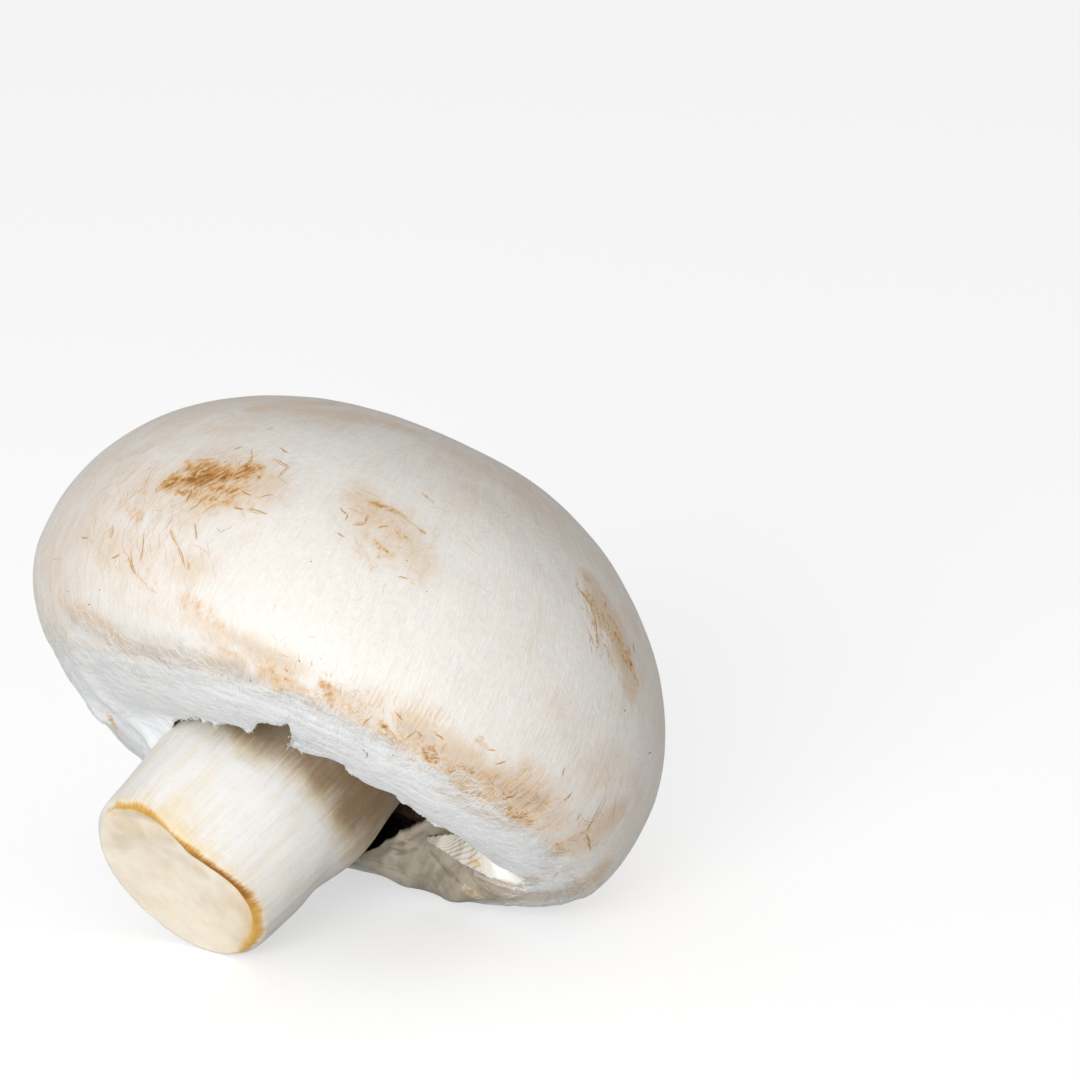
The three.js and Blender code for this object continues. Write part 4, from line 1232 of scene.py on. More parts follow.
# Azimuth, elevation, spread along and across, slant; count, lie, spread of the lie; length, width, tone.
SKIN_CLUSTERS = [
    (272, 12, 7, 4, 20, 60, 70, 40, 1, 0.09, 0.42), (266, 6, 5, 4, 0, 46, -78, 25, 1.6, 0.085, 0.4),
    (312, 15, 4, 4, 0, 20, -20, 50, 0.9, 0.09, 0.3), (330, 26, 10, 5, 0, 30, 0, 50, 1.6, 0.07, 0.14),
    (357, 19, 3.4, 1.8, -62, 40, -66, 25, 0.8, 0.09, 0.46),
    (322, -11, 9, 1.6, -15, 110, -60, 50, 0.7, 0.085, 0.4),
    (275, 14.5, 3.6, 1.7, 52, 60, 62, 26, 0.8, 0.08, 0.5),
    (281, 19, 2.4, 1.2, 55, 20, 66, 35, 0.7, 0.08, 0.6), (278, 9, 4, 1.8, 20, 16, -30, 40, 0.6, 0.06, 0.42),
    (270, 3, 5, 3.2, -42, 34, -60, 25, 1.2, 0.06, 0.3), (258, 20, 6, 4, 50, 20, 50, 40, 0.8, 0.06, 0.28),
    (312, 17, 4, 3, -30, 22, -10, 35, 0.6, 0.05, 0.3), (356, 21.5, 3, 1.4, -62, 34, -66, 20, 0.7, 0.06, 0.5),
    (313, -10, 1.6, 1, -50, 26, -75, 35, 0.7, 0.06, 0.45),
    (322, -11.5, 4, 0.9, -15, 36, -60, 45, 0.6, 0.06, 0.42),
    (333, -13, 1.4, 1, -22, 26, -40, 60, 0.6, 0.07, 0.55),
    (355, -13, 6, 2.6, -5, 50, -20, 60, 0.5, 0.05, 0.4), (12, -12, 3, 1.4, 0, 26, 20, 40, 0.8, 0.05, 0.45),
    (257, -12, 7, 2.4, 0, 120, -85, 16, 1, 0.05, 0.22), (280, -10, 7, 2, 0, 110, -85, 16, 0.9, 0.05, 0.2),
    (300, -11, 5, 1.6, 0, 80, -75, 25, 0.8, 0.05, 0.28), (262, -14, 8, 1.6, 0, 140, -30, 30, 1.3, 0.06, 0),
    (290, -13, 8, 1.4, 0, 120, -20, 30, 1.2, 0.06, 0), (330, -14, 8, 1.4, 0, 120, -5, 30, 1.2, 0.06, 0),
    (355, -18, 8, 1.5, 0, 70, 5, 30, 1.3, 0.05, 0), (320, 40, 16, 9, 0, 90, 0, 35, 1.2, 0.04, 0.03),
    (150, 30, 2.4, 1.4, 40, 40, 50, 30, 0.8, 0.08, 0.5), (60, 8, 2.2, 1, -50, 30, -55, 25, 0.8, 0.08, 0.5),
    (195, 5, 2, 1, 65, 30, 70, 25, 0.8, 0.08, 0.5), (110, -11, 9, 1.8, 0, 90, -85, 20, 0.9, 0.05, 0.26),
    (165, -11, 9, 1.8, 0, 90, -85, 20, 0.9, 0.05, 0.26), (222, -12, 7, 2, 0, 90, -85, 20, 0.9, 0.05, 0.24),
    (60, -12, 9, 2, 0, 70, -70, 30, 0.9, 0.05, 0.26),
]
print(len(LINES), "threads drawn one by one, and", sum(row[5] for row in SKIN_CLUSTERS), "in clusters")

# %% [markdown]
# Both kinds are laid at once. Strokes of a stain that were too thin to paint are drawn as threads as well.

# %% Threads on the skin
def draw_lines(lines):
    """Points and facings of threads drawn from the camera, as scatter_threads and drop_on give them."""
    points, faces = np.zeros((2, len(lines), THREAD_STEPS, 3))
    for i, (x0, y0, x1, y1, bow, *_) in enumerate(lines):
        x, y = x0 + (x1 - x0) * (ALONG + 0.5), y0 + (y1 - y0) * (ALONG + 0.5)
        length = max(np.hypot(x1 - x0, y1 - y0), 1e-6)
        side = bow * (1 - 4 * ALONG**2) + 0.25 * np.sin(9 * ALONG + i) * min(1, length / 10)
        for k in range(THREAD_STEPS):
            way = sight(x[k] + side[k] * (y1 - y0) / length, y[k] - side[k] * (x1 - x0) / length)
            points[i, k], faces[i, k] = first_hit(outer_surfaces, camera.location, way)
    return points, faces


outer_surfaces = [surface_of(cap), surface_of(veil)]
paths, widths, tones = scatter_threads(np.random.default_rng(21), SKIN_CLUSTERS)
drawn = LINES + [
    (*ends, (-1) ** i * 0.7, 1.25 * half_width, 0.28 + 0.42 * strength)
    for i, (*ends, half_width, strength) in enumerate(STAINS) if half_width < THIN
]
line_widths, line_tones = np.transpose([row[5:] for row in drawn])
places, facings = map(np.concatenate, zip(draw_lines(drawn), drop_on(outer_surfaces, paths)))
widths, tones = np.concatenate([1.6 * line_widths * STEP, widths]), np.concatenate([line_tones, tones])
skin_threads = ribbons("skin_threads", places, facings, widths, tones, rise=0.012)

# %% [markdown]
# Threads of the veil: white and cottony, mostly lying round the stem. At the torn edge they stick out as a
# fringe, which starts on the last rows of the sheet and goes on the way that the sheet was going.

# %% Threads of the veil
VEIL_CLUSTERS = [
    (262, -22, 10, 4, 0, 300, -5, 20, 2, 0.06, 0), (300, -19, 12, 2.2, 0, 300, 0, 20, 1.7, 0.06, 0),
    (338, -19, 9, 2, 5, 300, 8, 20, 1.5, 0.06, 0), (8, -22, 9, 2.4, 0, 300, 10, 25, 1.4, 0.06, 0),
    (45, -27, 9, 4, 0, 80, 0, 30, 1.6, 0.05, 0), (100, -26, 14, 4, 0, 300, 0, 30, 1.8, 0.07, 0),
    (160, -27, 14, 4, 0, 300, 0, 30, 1.8, 0.07, 0), (215, -25, 12, 4, 0, 300, 0, 30, 1.8, 0.07, 0),
]
FRINGE = 1500
LONGEST_STEP = 0.6  # a thread with a longer step jumps across the gap and is dropped


def hang_fringe(rng):
    """Threads that stick out of the torn edge, as points in the grown frame."""
    torn = np.flatnonzero((holds_stem(VEIL_AROUND) < 0.4) & (curled(VEIL_AROUND) < 0.5))
    column = rng.choice(torn, FRINGE)
    end, before = veil_hem[-1, column], veil_hem[0, column]
    way = unit(end - before)
    facing = outward(veil_hem)[-1, column]
    side = np.cross(way, facing)
    length = rng.uniform(0.1, 0.36, (FRINGE, 1, 1)) * (1 + ALONG[None, :, None] * 2) * 0.5
    sway, curl = rng.normal(0, 0.5, (2, FRINGE, 1, 1))
    start = end + side * rng.uniform(-0.08, 0.08, (FRINGE, 1)) - way * 0.12
    start -= facing * rng.uniform(0, 0.22, (FRINGE, 1))
    path = start[:, None] + way[:, None] * length + side[:, None] * sway * length
    path = path + facing[:, None] * curl * length**2
    return path, np.repeat(facing[:, None], THREAD_STEPS, 1)


rng = np.random.default_rng(22)
paths, widths, tones = scatter_threads(rng, VEIL_CLUSTERS)
points, facing = drop_on(outer_surfaces, paths)
steps = np.linalg.norm(np.diff(points, axis=1), axis=-1).max(1)
whole = steps < LONGEST_STEP * MM
fringe, fringe_facing = hang_fringe(rng)
points = np.concatenate([points[whole], turn_over(fringe) * MM + PLACE])
facing = np.concatenate([facing[whole], turn_over(fringe_facing)])
widths = np.concatenate([widths[whole], rng.uniform(0.04, 0.09, FRINGE)])
tones = np.concatenate([tones[whole], np.zeros(FRINGE)])
veil_threads = ribbons("veil_threads", points, facing, widths, tones, rise=0.03)

# %% [markdown]
# The finishes are wired as nodes. Wiring by hand in code is wordy, so a few helpers add one node each, link
# or set its inputs, and return its output. They are used for the groups, which several materials share, and
# for the materials.

# %% Helpers that wire nodes
def put(tree, value, socket):
    """Links a value that another node gives, or sets one that is known."""
    if isinstance(value, bpy.types.NodeSocket):
        tree.links.new(value, socket)
    else:
        socket.default_value = value


def wire(tree, kind, inputs=None, output=0, **settings):
    """Adds a node with its settings and its inputs, and gives one of its outputs."""
    node = tree.nodes.new(kind)
    for name, value in settings.items():
        setattr(node, name, value)
    for name, value in (inputs or {}).items():
        put(tree, value, node.inputs[name])
    return node.outputs[output]


def calc(tree, operation, a, b=0.0):
    return wire(tree, "ShaderNodeMath", {0: a, 1: b}, operation=operation)


def times(tree, a, b):
    return calc(tree, "MULTIPLY", a, b)


def plus(tree, a, b):
    return calc(tree, "ADD", a, b)


def centred(tree, value, amount):
    """A noise value moved to lie around 0 and multiplied."""
    return times(tree, calc(tree, "SUBTRACT", value, 0.5), amount)


def as_vector(tree, x, y, z):
    return wire(tree, "ShaderNodeCombineXYZ", {0: x, 1: y, 2: z})


def vector(tree, operation, a, b):
    output = "Value" if operation == "DOT_PRODUCT" else "Vector"
    return wire(tree, "ShaderNodeVectorMath", {0: a, 1: b}, output, operation=operation)


def scaled(tree, place, amount):
    return wire(tree, "ShaderNodeVectorMath", {0: place, "Scale": amount}, operation="SCALE")


def ease(tree, value, low, high):
    inputs = {"Value": value, "From Min": low, "From Max": high}
    return wire(tree, "ShaderNodeMapRange", inputs, interpolation_type="SMOOTHSTEP")


def blend(tree, share, a, b, how="MIX"):
    return wire(tree, "ShaderNodeMix", {0: share, 6: a, 7: b}, 2, data_type="RGBA", blend_type=how)


def cloud(tree, place, size, detail=2.0, roughness=0.5):
    """Smooth noise from 0 to 1, with lumps of about the given size in millimetres."""
    inputs = {"Vector": place, "Scale": 1 / size, "Detail": detail, "Roughness": roughness}
    return wire(tree, "ShaderNodeTexNoise", inputs)


def kept(tree, label):
    """A value that was stored at the mesh's points."""
    output = "Vector" if label in ("grown", "fibres", "folds") else "Fac"
    return wire(tree, "ShaderNodeAttribute", output=output, attribute_name=label)


def new_group(name, inputs, outputs):
    tree = bpy.data.node_groups.new(name, "ShaderNodeTree")
    for label, value in inputs.items():
        size = len(value) if isinstance(value, tuple) else 1
        kind = {3: "NodeSocketVector", 4: "NodeSocketColor"}.get(size)
        socket = tree.interface.new_socket(label, in_out="INPUT", socket_type=kind or "NodeSocketFloat")
        socket.default_value = value
    for label, kind in outputs.items():
        tree.interface.new_socket(label, in_out="OUTPUT", socket_type="NodeSocket" + kind)
    return tree, tree.nodes.new("NodeGroupInput").outputs, tree.nodes.new("NodeGroupOutput").inputs


def use(tree, group, inputs, output):
    return wire(tree, "ShaderNodeGroup", inputs, output, node_tree=group)


# %% [markdown]
# Fibres: mushroom flesh and skin are made of threads, so every finish here has streaks. Noise is squeezed
# along the direction of the threads. A wave texture would be too regular, and noise breaks up by itself.

# %% Group: fibres
FIBRES, given, made = new_group(
    "fibres", {"Place": (0.0, 0.0, 0.0), "Width": 0.3, "Length": 6.0}, {"Streaks": "Float"}
)
width = calc(FIBRES, "DIVIDE", 1.0, given["Width"])
length = calc(FIBRES, "DIVIDE", 1.0, given["Length"])
squeeze = as_vector(FIBRES, width, width, length)
squeezed = vector(FIBRES, "MULTIPLY", given["Place"], squeeze)
FIBRES.links.new(cloud(FIBRES, squeezed, 1.0, 3.0, 0.6), made["Streaks"])


def fibre_streaks(tree, place, width, length):
    return use(tree, FIBRES, {"Place": place, "Width": width, "Length": length}, "Streaks")


# %% [markdown]
# Stains: a bruise on a mushroom isn't a soft blot. It follows scuffs, so its edge is ragged and its middle is
# streaky. The painted value is raised and lowered by noise that is pulled out along the way of the scrape,
# and only where there is some stain already, so that clean skin stays clean.

# %% Group: stains
STROKES, given, made = new_group(
    "stains",
    {
        "Dab": 0.0, "Place": (0.0, 0.0, 0.0), "Direction": (0.0, 0.0, 1.0), "Width": 0.4, "Stretch": 3.0,
        "Roughness": 2.1,
    },
    {"Stain": "Float"},
)
along = vector(STROKES, "DOT_PRODUCT", given["Place"], given["Direction"])
shrink = calc(STROKES, "SUBTRACT", 1.0, calc(STROKES, "DIVIDE", 1.0, given["Stretch"]))
pull = scaled(STROKES, given["Direction"], times(STROKES, along, shrink))
pulled = vector(STROKES, "SUBTRACT", given["Place"], pull)
warp = cloud(STROKES, given["Place"], 1.6, 2.0)
pulled = vector(STROKES, "ADD", pulled, as_vector(STROKES, warp, warp, warp))
per_width = calc(STROKES, "DIVIDE", 1.0, given["Width"])
streaks = cloud(STROKES, scaled(STROKES, pulled, per_width), 1.0, 4.0, 0.62)
rough = times(STROKES, calc(STROKES, "SUBTRACT", streaks, 0.5), given["Roughness"])
rough = times(STROKES, rough, ease(STROKES, given["Dab"], 0.0, 0.6))
STROKES.links.new(plus(STROKES, given["Dab"], rough), made["Stain"])

# %% [markdown]
# Ripples: over the rim the skin lies in fine pleats that run down it, about 0.4 mm apart. A wave texture
# can't follow them round the cap, so the angle about the cap's axis is turned into a wave here, and noise
# makes it waver. A whole number of waves goes round, so that there is no seam.

# %% Group: ripples
RIPPLE, given, made = new_group(
    "ripples", {"Place": (0.0, 0.0, 0.0), "Count": 400.0, "Waver": 5.0}, {"Wave": "Float"}
)
parts = RIPPLE.nodes.new("ShaderNodeSeparateXYZ")
RIPPLE.links.new(given["Place"], parts.inputs[0])
angle = calc(RIPPLE, "ARCTAN2", parts.outputs[1], parts.outputs[0])
waver = times(RIPPLE, cloud(RIPPLE, given["Place"], 1.8, 2.0), given["Waver"])
phase = plus(RIPPLE, times(RIPPLE, angle, given["Count"]), waver)
wave = times(RIPPLE, plus(RIPPLE, calc(RIPPLE, "SINE", phase), 1.0), 0.5)
RIPPLE.links.new(wave, made["Wave"])

# %% [markdown]
# Fleece: the veil and the border of the skin are felted from fine white threads that lie every way but mostly
# round the stem. Its height is two stretched noises at odds with each other, and it goes to a bump, since
# single threads are finer than any mesh here.

# %% Group: fleece
FLEECE, given, made = new_group(
    "fleece", {"Place": (0.0, 0.0, 0.0), "Grown": (0.0, 0.0, 0.0)}, {"Height": "Float", "Shade": "Float"}
)
round_stem = fibre_streaks(FLEECE, given["Grown"], 1.6, 0.35)
across = fibre_streaks(FLEECE, given["Place"], 0.28, 2.2)
felt = cloud(FLEECE, given["Grown"], 0.5, 4.0, 0.7)
both = plus(FLEECE, times(FLEECE, round_stem, 0.8), times(FLEECE, across, 0.45))
height = plus(FLEECE, both, times(FLEECE, felt, 0.5))
FLEECE.links.new(height, made["Height"])
# Shade: the low parts of the felt, which the skin group paints a little greyer as painted shade in its hollows.
FLEECE.links.new(ease(FLEECE, height, 0.65, 1.1), made["Shade"])

# %% [markdown]
# Skin, stained skin and fleece run into one another, so one group makes the colour and the height of all
# three, and both the cap and the veil use it. It starts from clean skin and lays on, in turn, a warm mottle
# that is partly painted shade, ripples, stains from ochre to brown, grey scuffing that is partly painted shade,
# and the white of the fleece, painted a little greyer in its hollows as painted shade.

# %% Group: skin into fleece
SKIN, given, made = new_group(
    "skin_into_fleece",
    {
        "Grown": (0.0, 0.0, 0.0), "Fibres": (0.0, 0.0, 0.0), "Warm_and_shade": 0.0, "Stain": 0.0, "Ripple": 0.0,
        "Scuff_and_shade": 0.0, "Fleece": 0.0, "Soft": 1.0, "Clean": (0.86, 0.825, 0.775, 1.0),
        "Warm and shade colour": (0.76, 0.61, 0.46, 1.0),
        "Tan": (0.75, 0.52, 0.30, 1.0), "Ochre": (0.59, 0.28, 0.05, 1.0), "Brown": (0.31, 0.125, 0.018, 1.0),
        "Dark": (0.11, 0.045, 0.012, 1.0), "Grey": (0.54, 0.49, 0.44, 1.0), "White": (0.83, 0.85, 0.86, 1.0),
    },
    {"Colour": "Color", "Height": "Float", "Dryness": "Float"},
)
grown, fibres = given["Grown"], given["Fibres"]
SKIN_RELIEF, FLEECE_RELIEF, SUNKEN = 0.045, 0.1, 0.03  # heights and depths in the bump, in millimetres
# How stained the skin is where a colour starts and where it is whole, and how much it then covers.
STAIN_TONES = [
    (0.08, 0.5, 0.8, "Tan"), (0.36, 0.78, 0.85, "Ochre"), (0.68, 1.05, 0.85, "Brown"),
    (1.0, 1.4, 0.85, "Dark"),
]


def lay_on(colour, value, low, high, strength, over):
    return blend(SKIN, times(SKIN, ease(SKIN, value, low, high), strength), colour, over)


mottle, specks = cloud(SKIN, grown, 5.0, 5.0, 0.6), cloud(SKIN, grown, 0.7, 5.0, 0.65)
broad = fibre_streaks(SKIN, fibres, 0.9, 5.0)
fine = fibre_streaks(SKIN, fibres, 0.16, 1.4)
sideways = vector(SKIN, "MULTIPLY", grown, (1.0, 0.4, 1.0))
cross = fibre_streaks(SKIN, sideways, 0.3, 0.5)
# The warm layer is partly older skin and partly painted shade.
warmth_and_shade = plus(SKIN, plus(SKIN, given["Warm_and_shade"], centred(SKIN, mottle, 1.4)), centred(SKIN, broad, 0.7))
colour = lay_on(given["Clean"], warmth_and_shade, 0.0, 1.25, 0.95, given["Warm and shade colour"])
shade = plus(SKIN, 1.0, plus(SKIN, centred(SKIN, fine, 0.2), centred(SKIN, cross, 0.16)))
colour = blend(SKIN, 1.0, colour, as_vector(SKIN, shade, shade, shade), "MULTIPLY")
wave = use(SKIN, RIPPLE, {"Place": fibres}, "Wave")
broken = ease(SKIN, plus(SKIN, mottle, centred(SKIN, specks, 0.8)), 0.36, 0.6)
rippled = times(SKIN, times(SKIN, wave, given["Ripple"]), broken)
colour = lay_on(colour, rippled, 0.2, 1.1, 0.45, given["Tan"])
scraped = {
    "Dab": given["Stain"], "Place": grown, "Direction": (0.36, 0.15, 0.92), "Width": 0.3, "Stretch": 3.2,
}
stain = use(SKIN, STROKES, scraped, "Stain")
for low, high, most, tone in STAIN_TONES:
    colour = lay_on(colour, stain, low, high, most, given[tone])
streaky = plus(SKIN, given["Scuff_and_shade"], plus(SKIN, centred(SKIN, fine, 0.9), centred(SKIN, specks, 0.9)))
scuffed_and_shaded = times(SKIN, ease(SKIN, streaky, 0.15, 1.0), ease(SKIN, given["Scuff_and_shade"], 0.02, 0.3))
down = use(SKIN, FLEECE, {"Place": fibres, "Grown": grown}, "Height")
# The fleece's low parts are painted a little greyer: painted shade in the hollows of the felt.
threads = use(SKIN, FLEECE, {"Place": fibres, "Grown": grown}, "Shade")
white = blend(SKIN, 0.12, given["White"], given["Grey"])
white = blend(SKIN, threads, white, given["White"])
# The fleece is also painted warmer and greyer under the warm layer: partly age, partly painted shade.
aged_and_shaded = blend(SKIN, 0.6, given["Warm and shade colour"], given["Grey"])
white = lay_on(white, given["Warm_and_shade"], 0.2, 1.1, 0.8, aged_and_shaded)
spread = plus(SKIN, given["Fleece"], plus(SKIN, centred(SKIN, threads, 0.5), centred(SKIN, fine, 1.0)))
is_fleece = times(SKIN, ease(SKIN, spread, 0.1, 0.95), ease(SKIN, given["Fleece"], 0.02, 0.3))
clear = calc(SKIN, "SUBTRACT", 1.0, times(SKIN, ease(SKIN, stain, 0.08, 0.45), 0.8))
colour = blend(SKIN, times(SKIN, is_fleece, clear), colour, white)
# Grey from the scuff layer: partly dirt, partly painted shade where the shoulder turns under.
colour = blend(SKIN, times(SKIN, scuffed_and_shaded, 0.62), colour, given["Grey"])
skin_height = plus(SKIN, times(SKIN, fine, SKIN_RELIEF), times(SKIN, cross, SKIN_RELIEF))
skin_height = plus(SKIN, skin_height, times(SKIN, specks, SKIN_RELIEF))
skin_height = calc(SKIN, "SUBTRACT", skin_height, times(SKIN, rippled, SUNKEN))
skin_height = calc(SKIN, "SUBTRACT", skin_height, times(SKIN, ease(SKIN, stain, 0.3, 1.2), SUNKEN))
fleece_height = times(SKIN, times(SKIN, down, is_fleece), times(SKIN, given["Soft"], FLEECE_RELIEF))
SKIN.links.new(colour, made["Colour"])
SKIN.links.new(plus(SKIN, skin_height, fleece_height), made["Height"])
SKIN.links.new(calc(SKIN, "MAXIMUM", is_fleece, ease(SKIN, stain, 0.3, 1.0)), made["Dryness"])
print("groups:", [group.name for group in bpy.data.node_groups])

# %% [markdown]
# Mushroom flesh lets light in a little, so all materials but the dark one of the gills scatter it below the
# surface, over about a millimetre. The skin has a faint satin gloss, and fleece has less.

# %% Start of a material
SCATTER_DEPTH = 1.2  # how far light goes into the flesh, in millimetres
SCATTER_SHARES = (1.0, 0.65, 0.45)  # red goes the whole of it, and green and blue less


def new_material(name, piece, scatter, gloss):
    material = bpy.data.materials.new(name)
    material.use_nodes = True
    tree = material.node_tree
    shader = tree.nodes["Principled BSDF"]
    shader.inputs["Subsurface Weight"].default_value = scatter
    shader.inputs["Subsurface Radius"].default_value = SCATTER_SHARES
    shader.inputs["Subsurface Scale"].default_value = SCATTER_DEPTH * MM
    shader.inputs["Specular IOR Level"].default_value = gloss
    piece.data.materials.append(material)
    return tree, shader


def finish_surface(tree, shader, colour, roughness, height):
    """Links a colour, a roughness and a height in millimetres."""
    put(tree, colour, shader.inputs["Base Color"])
    put(tree, roughness, shader.inputs["Roughness"])
    bump = wire(tree, "ShaderNodeBump", {"Height": height, "Distance": MM, "Strength": 1.0})
    tree.links.new(bump, shader.inputs["Normal"])


# %% [markdown]
# Cap skin: the shared group with the values that were painted on, and plain flesh where the cap turns in over
# the gills.

# %% Cap material
def skin_inputs(tree):
    labels = ("Grown", "Fibres", "Warm_and_shade", "Stain", "Ripple", "Scuff_and_shade", "Fleece")
    return {label: kept(tree, label.lower()) for label in labels}


def paint_cap():
    tree, shader = new_material("cap_skin", cap, scatter=0.2, gloss=0.45)
    inputs = skin_inputs(tree)
    colour = use(tree, SKIN, inputs, "Colour")
    colour = blend(tree, kept(tree, "flesh"), colour, (0.34, 0.25, 0.18, 1.0))
    dryness = use(tree, SKIN, inputs, "Dryness")
    roughness = plus(tree, times(tree, dryness, 0.3), 0.48)
    finish_surface(tree, shader, colour, roughness, use(tree, SKIN, inputs, "Height"))


paint_cap()

# %% [markdown]
# Veil: the same group outside. Inside it is duller, brown-grey from the spores, with a dark line in each gill
# print. The curled low side is painted dull brown-grey, partly older tissue and partly painted shade, with
# painted shadow in its creases.

# %% Veil material
def paint_veil():
    tree, shader = new_material("veil_fleece", veil, scatter=0.2, gloss=0.25)
    inputs = skin_inputs(tree)
    colour = use(tree, SKIN, inputs, "Colour")
    inputs["Soft"] = calc(tree, "SUBTRACT", 1.0, times(tree, kept(tree, "dull_and_shade"), 0.85))
    streaks = fibre_streaks(tree, kept(tree, "folds"), 0.35, 3.0)
    streaky = times(tree, streaks, 0.4)
    blotchy = plus(tree, streaky, times(tree, cloud(tree, inputs["Grown"], 1.8, 4.0, 0.6), 0.6))
    # Dull brown-grey of the curled low side: partly older tissue, partly painted shade.
    stale_and_shaded = blend(tree, ease(tree, blotchy, 0.32, 0.7), (0.44, 0.385, 0.29, 1.0), (0.21, 0.17, 0.11, 1.0))
    # Painted shadow in the creases.
    crease_shadow = ease(tree, kept(tree, "crease_shadow"), 0.05, 0.8)
    stale_and_shaded = blend(tree, times(tree, crease_shadow, 0.8), stale_and_shaded, (0.12, 0.085, 0.045, 1.0))
    spots = ease(tree, inputs["Stain"], 0.2, 0.6)
    dull_and_shade = times(tree, kept(tree, "dull_and_shade"), calc(tree, "SUBTRACT", 0.9, times(tree, spots, 0.6)))
    colour = blend(tree, dull_and_shade, colour, stale_and_shaded)
    cloudy = ease(tree, cloud(tree, inputs["Grown"], 2.2, 4.0, 0.6), 0.35, 0.7)
    lining = blend(tree, cloudy, (0.60, 0.54, 0.46, 1.0), (0.36, 0.29, 0.21, 1.0))
    line = ease(tree, kept(tree, "pleats"), 0.35, 0.0)
    lining = blend(tree, times(tree, line, 0.5), lining, (0.12, 0.085, 0.055, 1.0))
    colour = blend(tree, kept(tree, "inside"), colour, lining)
    roughness = plus(tree, times(tree, use(tree, SKIN, inputs, "Dryness"), 0.3), 0.5)
    finish_surface(tree, shader, colour, roughness, use(tree, SKIN, inputs, "Height"))


paint_veil()

# %% [markdown]
# Inner strip: clean cream flesh, smoother than the fleece, with faint threads along it and brown in the gill
# prints. Its turned-up end is painted grey-beige as painted shade, and the whole strip has a painted glow.

# %% Inner strip material
# Painted glow: the strip emits a little light of its own colour, standing in for light through the thin flesh.
PAINTED_GLOW = 0.13  # light that comes through the thin flesh


def paint_strip():
    tree, shader = new_material("inner_strip", strip, scatter=0.25, gloss=0.3)
    streaks = fibre_streaks(tree, kept(tree, "fibres"), 0.5, 4.0)
    colour = blend(tree, ease(tree, streaks, 0.35, 0.75), (0.97, 0.95, 0.91, 1.0), (0.95, 0.91, 0.83, 1.0))
    # Painted shade on the turned-up end.
    turned_shade = blend(tree, ease(tree, streaks, 0.35, 0.7), (0.66, 0.62, 0.54, 1.0), (0.46, 0.42, 0.34, 1.0))
    colour = blend(tree, times(tree, kept(tree, "turned_shade"), 0.9), colour, turned_shade)
    colour = blend(tree, ease(tree, kept(tree, "ochre"), 0.1, 0.8), colour, (0.62, 0.42, 0.18, 1.0))
    print_line = ease(tree, plus(tree, kept(tree, "pleats"), times(tree, streaks, 0.9)), 1.0, 1.45)
    colour = blend(tree, times(tree, print_line, 0.55), colour, (0.15, 0.12, 0.08, 1.0))
    # Painted glow.
    tree.links.new(colour, shader.inputs["Emission Color"])
    shader.inputs["Emission Strength"].default_value = PAINTED_GLOW
    finish_surface(tree, shader, colour, 0.6, times(tree, streaks, 0.03))


paint_strip()

# %% [markdown]
# Threads: one material for all of them, coloured by the tone that each ribbon keeps.

# %% Thread material
WHITE_THREAD = (0.88, 0.87, 0.84, 1.0)
# The tone at which a thread has reached each colour.
DARKER_THREADS = [
    (0.24, (0.78, 0.57, 0.34, 1.0)), (0.52, (0.64, 0.33, 0.085, 1.0)),
    (0.84, (0.34, 0.14, 0.025, 1.0)), (1.0, (0.10, 0.04, 0.012, 1.0)),
]


def paint_threads():
    tree, shader = new_material("threads", skin_threads, scatter=0.1, gloss=0.3)
    tone = kept(tree, "tone")
    colour, low = WHITE_THREAD, 0.0
    for high, darker in DARKER_THREADS:
        colour, low = blend(tree, ease(tree, tone, low, high), colour, darker), high
    tree.links.new(colour, shader.inputs["Base Color"])
    shader.inputs["Roughness"].default_value = 0.65
    veil_threads.data.materials.append(bpy.data.materials["threads"])


paint_threads()

# %% [markdown]
# Gills: chocolate brown and matt. Between the blades it is dark because little light gets in, not because of
# paint.

# %% Gill material
def paint_gills():
    tree, shader = new_material("gill_tissue", gills, scatter=0.0, gloss=0.15)
    cloudy = cloud(tree, kept(tree, "grown"), 1.5, 3.0)
    colour = blend(tree, ease(tree, cloudy, 0.3, 0.7), (0.12, 0.07, 0.045, 1.0), (0.24, 0.15, 0.095, 1.0))
    finish_surface(tree, shader, colour, 0.85, times(tree, cloudy, 0.02))


paint_gills()

# %% [markdown]
# Stem: cream flesh with lengthwise threads. Where the veil sheltered it, it is painted olive to brown, partly
# damp flesh and partly painted shade under the veil. The cut has dried to beige, with an amber rim where the
# skin shrank back.

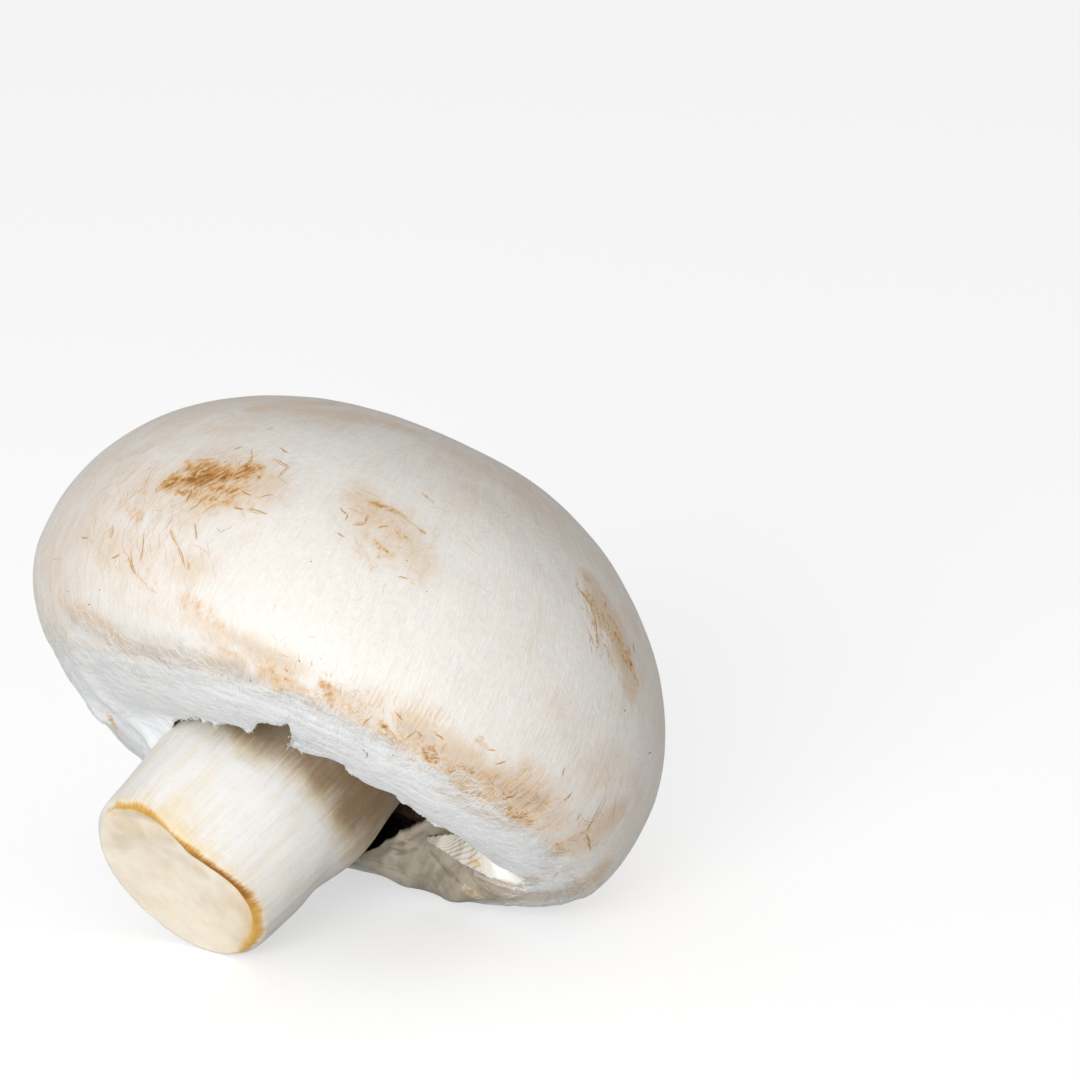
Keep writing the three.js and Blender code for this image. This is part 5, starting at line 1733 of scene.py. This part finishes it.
# %% Stem material
def paint_stem():
    tree, shader = new_material("stem_flesh", stem, scatter=0.25, gloss=0.35)
    grown, fibres = kept(tree, "grown"), kept(tree, "fibres")
    fine = fibre_streaks(tree, fibres, 0.16, 3.0)
    broad = fibre_streaks(tree, fibres, 1.3, 8.0)
    mottle = cloud(tree, grown, 2.2, 5.0, 0.6)
    colour = blend(tree, ease(tree, broad, 0.4, 0.8), (0.90, 0.885, 0.86, 1.0), (0.87, 0.81, 0.70, 1.0))
    colour = blend(tree, times(tree, ease(tree, fine, 0.45, 0.8), 0.22), colour, (0.68, 0.60, 0.49, 1.0))
    # Olive to brown near the top: partly damp flesh, partly painted shade under the veil.
    damp_shade = plus(tree, kept(tree, "damp_shade"), plus(tree, centred(tree, fine, 0.5), centred(tree, mottle, 0.6)))
    damp_shade = times(tree, damp_shade, ease(tree, kept(tree, "damp_shade"), 0.02, 0.25))
    share = ease(tree, kept(tree, "damp_shade"), 0.35, 0.85)
    olive = blend(tree, share, (0.58, 0.41, 0.165, 1.0), (0.30, 0.19, 0.09, 1.0))
    colour = blend(tree, times(tree, ease(tree, damp_shade, 0.0, 0.95), 0.95), colour, olive)
    face = blend(tree, ease(tree, mottle, 0.4, 0.75), (0.95, 0.87, 0.74, 1.0), (0.90, 0.78, 0.61, 1.0))
    # Brown touches, and painted shade in the hollow of the cut face.
    tinted_and_shaded = plus(tree, times(tree, kept(tree, "tint_and_shade"), 1.15), centred(tree, mottle, 0.3))
    face = blend(tree, times(tree, ease(tree, tinted_and_shaded, 0.0, 1.2), 0.8), face, (0.53, 0.38, 0.21, 1.0))
    colour = blend(tree, kept(tree, "cut"), colour, face)
    uneven = plus(tree, centred(tree, cloud(tree, grown, 0.9, 4.0, 0.65), 0.9), centred(tree, fine, 0.6))
    halo = plus(tree, kept(tree, "halo"), uneven)
    colour = blend(tree, times(tree, ease(tree, halo, 0.05, 1.0), 0.75), colour, (0.84, 0.63, 0.30, 1.0))
    ragged = plus(tree, kept(tree, "amber"), uneven)
    burnt = plus(tree, kept(tree, "burnt"), times(tree, uneven, 0.7))
    amber = blend(tree, ease(tree, burnt, 0.1, 0.9), (0.72, 0.41, 0.085, 1.0), (0.33, 0.13, 0.012, 1.0))
    present = ease(tree, kept(tree, "amber"), 0.05, 0.5)
    colour = blend(tree, times(tree, ease(tree, ragged, 0.1, 0.95), present), colour, amber)
    height = plus(tree, times(tree, fine, 0.035), times(tree, cloud(tree, grown, 0.4, 4.0), 0.03))
    finish_surface(tree, shader, colour, 0.55, height)


paint_stem()

# %% [markdown]
# The board is plain and pale. It glows a little to the camera, like a light table under a small object, so
# that the background stays white.

# %% Floor
FLOOR_GLOW = 0.52


def build_floor():
    bpy.ops.mesh.primitive_circle_add(vertices=96, radius=2.5, fill_type="NGON")
    floor = bpy.context.object
    floor.name = "floor"
    material = bpy.data.materials.new("floor")
    material.use_nodes = True
    tree = material.node_tree
    shader = tree.nodes["Principled BSDF"]
    shader.inputs["Base Color"].default_value = (0.72, 0.72, 0.72, 1)
    shader.inputs["Roughness"].default_value = 0.9
    shader.inputs["Specular IOR Level"].default_value = 0.0
    shader.inputs["Emission Color"].default_value = (1, 1, 1, 1)
    camera_ray = wire(tree, "ShaderNodeLightPath", output="Is Camera Ray")
    tree.links.new(times(tree, camera_ray, FLOOR_GLOW), shader.inputs["Emission Strength"])
    floor.data.materials.append(material)


build_floor()

# %% [markdown]
# Light: a big soft box close to the camera's left and a little above, as by a window, and an even grey sky.
# The top and the far side stay greyer, which shows the roundness of a nearly white object. The view transform
# is the plain one, because a filmic one would turn these whites grey.

# %% Light
LIGHT_DISTANCE = 0.6  # metres
SKY_STRENGTH = 0.5


def soft_box(name, azimuth_from_camera, height, size, power):
    """A square light turned to face the mushroom. The angles are in degrees, and the size in metres."""
    turn, tilt = np.radians([VIEW_AZIMUTH + azimuth_from_camera, height])
    direction = np.array([np.sin(turn) * np.cos(tilt), -np.cos(turn) * np.cos(tilt), np.sin(tilt)])
    data = bpy.data.lights.new(name, "AREA")
    data.size = size
    data.energy = power
    light = bpy.data.objects.new(name, data)
    light.location = PLACE + direction * LIGHT_DISTANCE
    light.rotation_euler = Vector(-direction).to_track_quat("-Z", "Y").to_euler()
    bpy.context.scene.collection.objects.link(light)


soft_box("key", azimuth_from_camera=-16, height=14, size=0.3, power=2.38)
world = bpy.data.worlds.new("sky")
world.use_nodes = True
sky = world.node_tree.nodes["Background"].inputs
sky["Color"].default_value = (1.0, 1.0, 1.0, 1)
sky["Strength"].default_value = SKY_STRENGTH
bpy.context.scene.world = world
bpy.context.scene.view_settings.view_transform = "Standard"
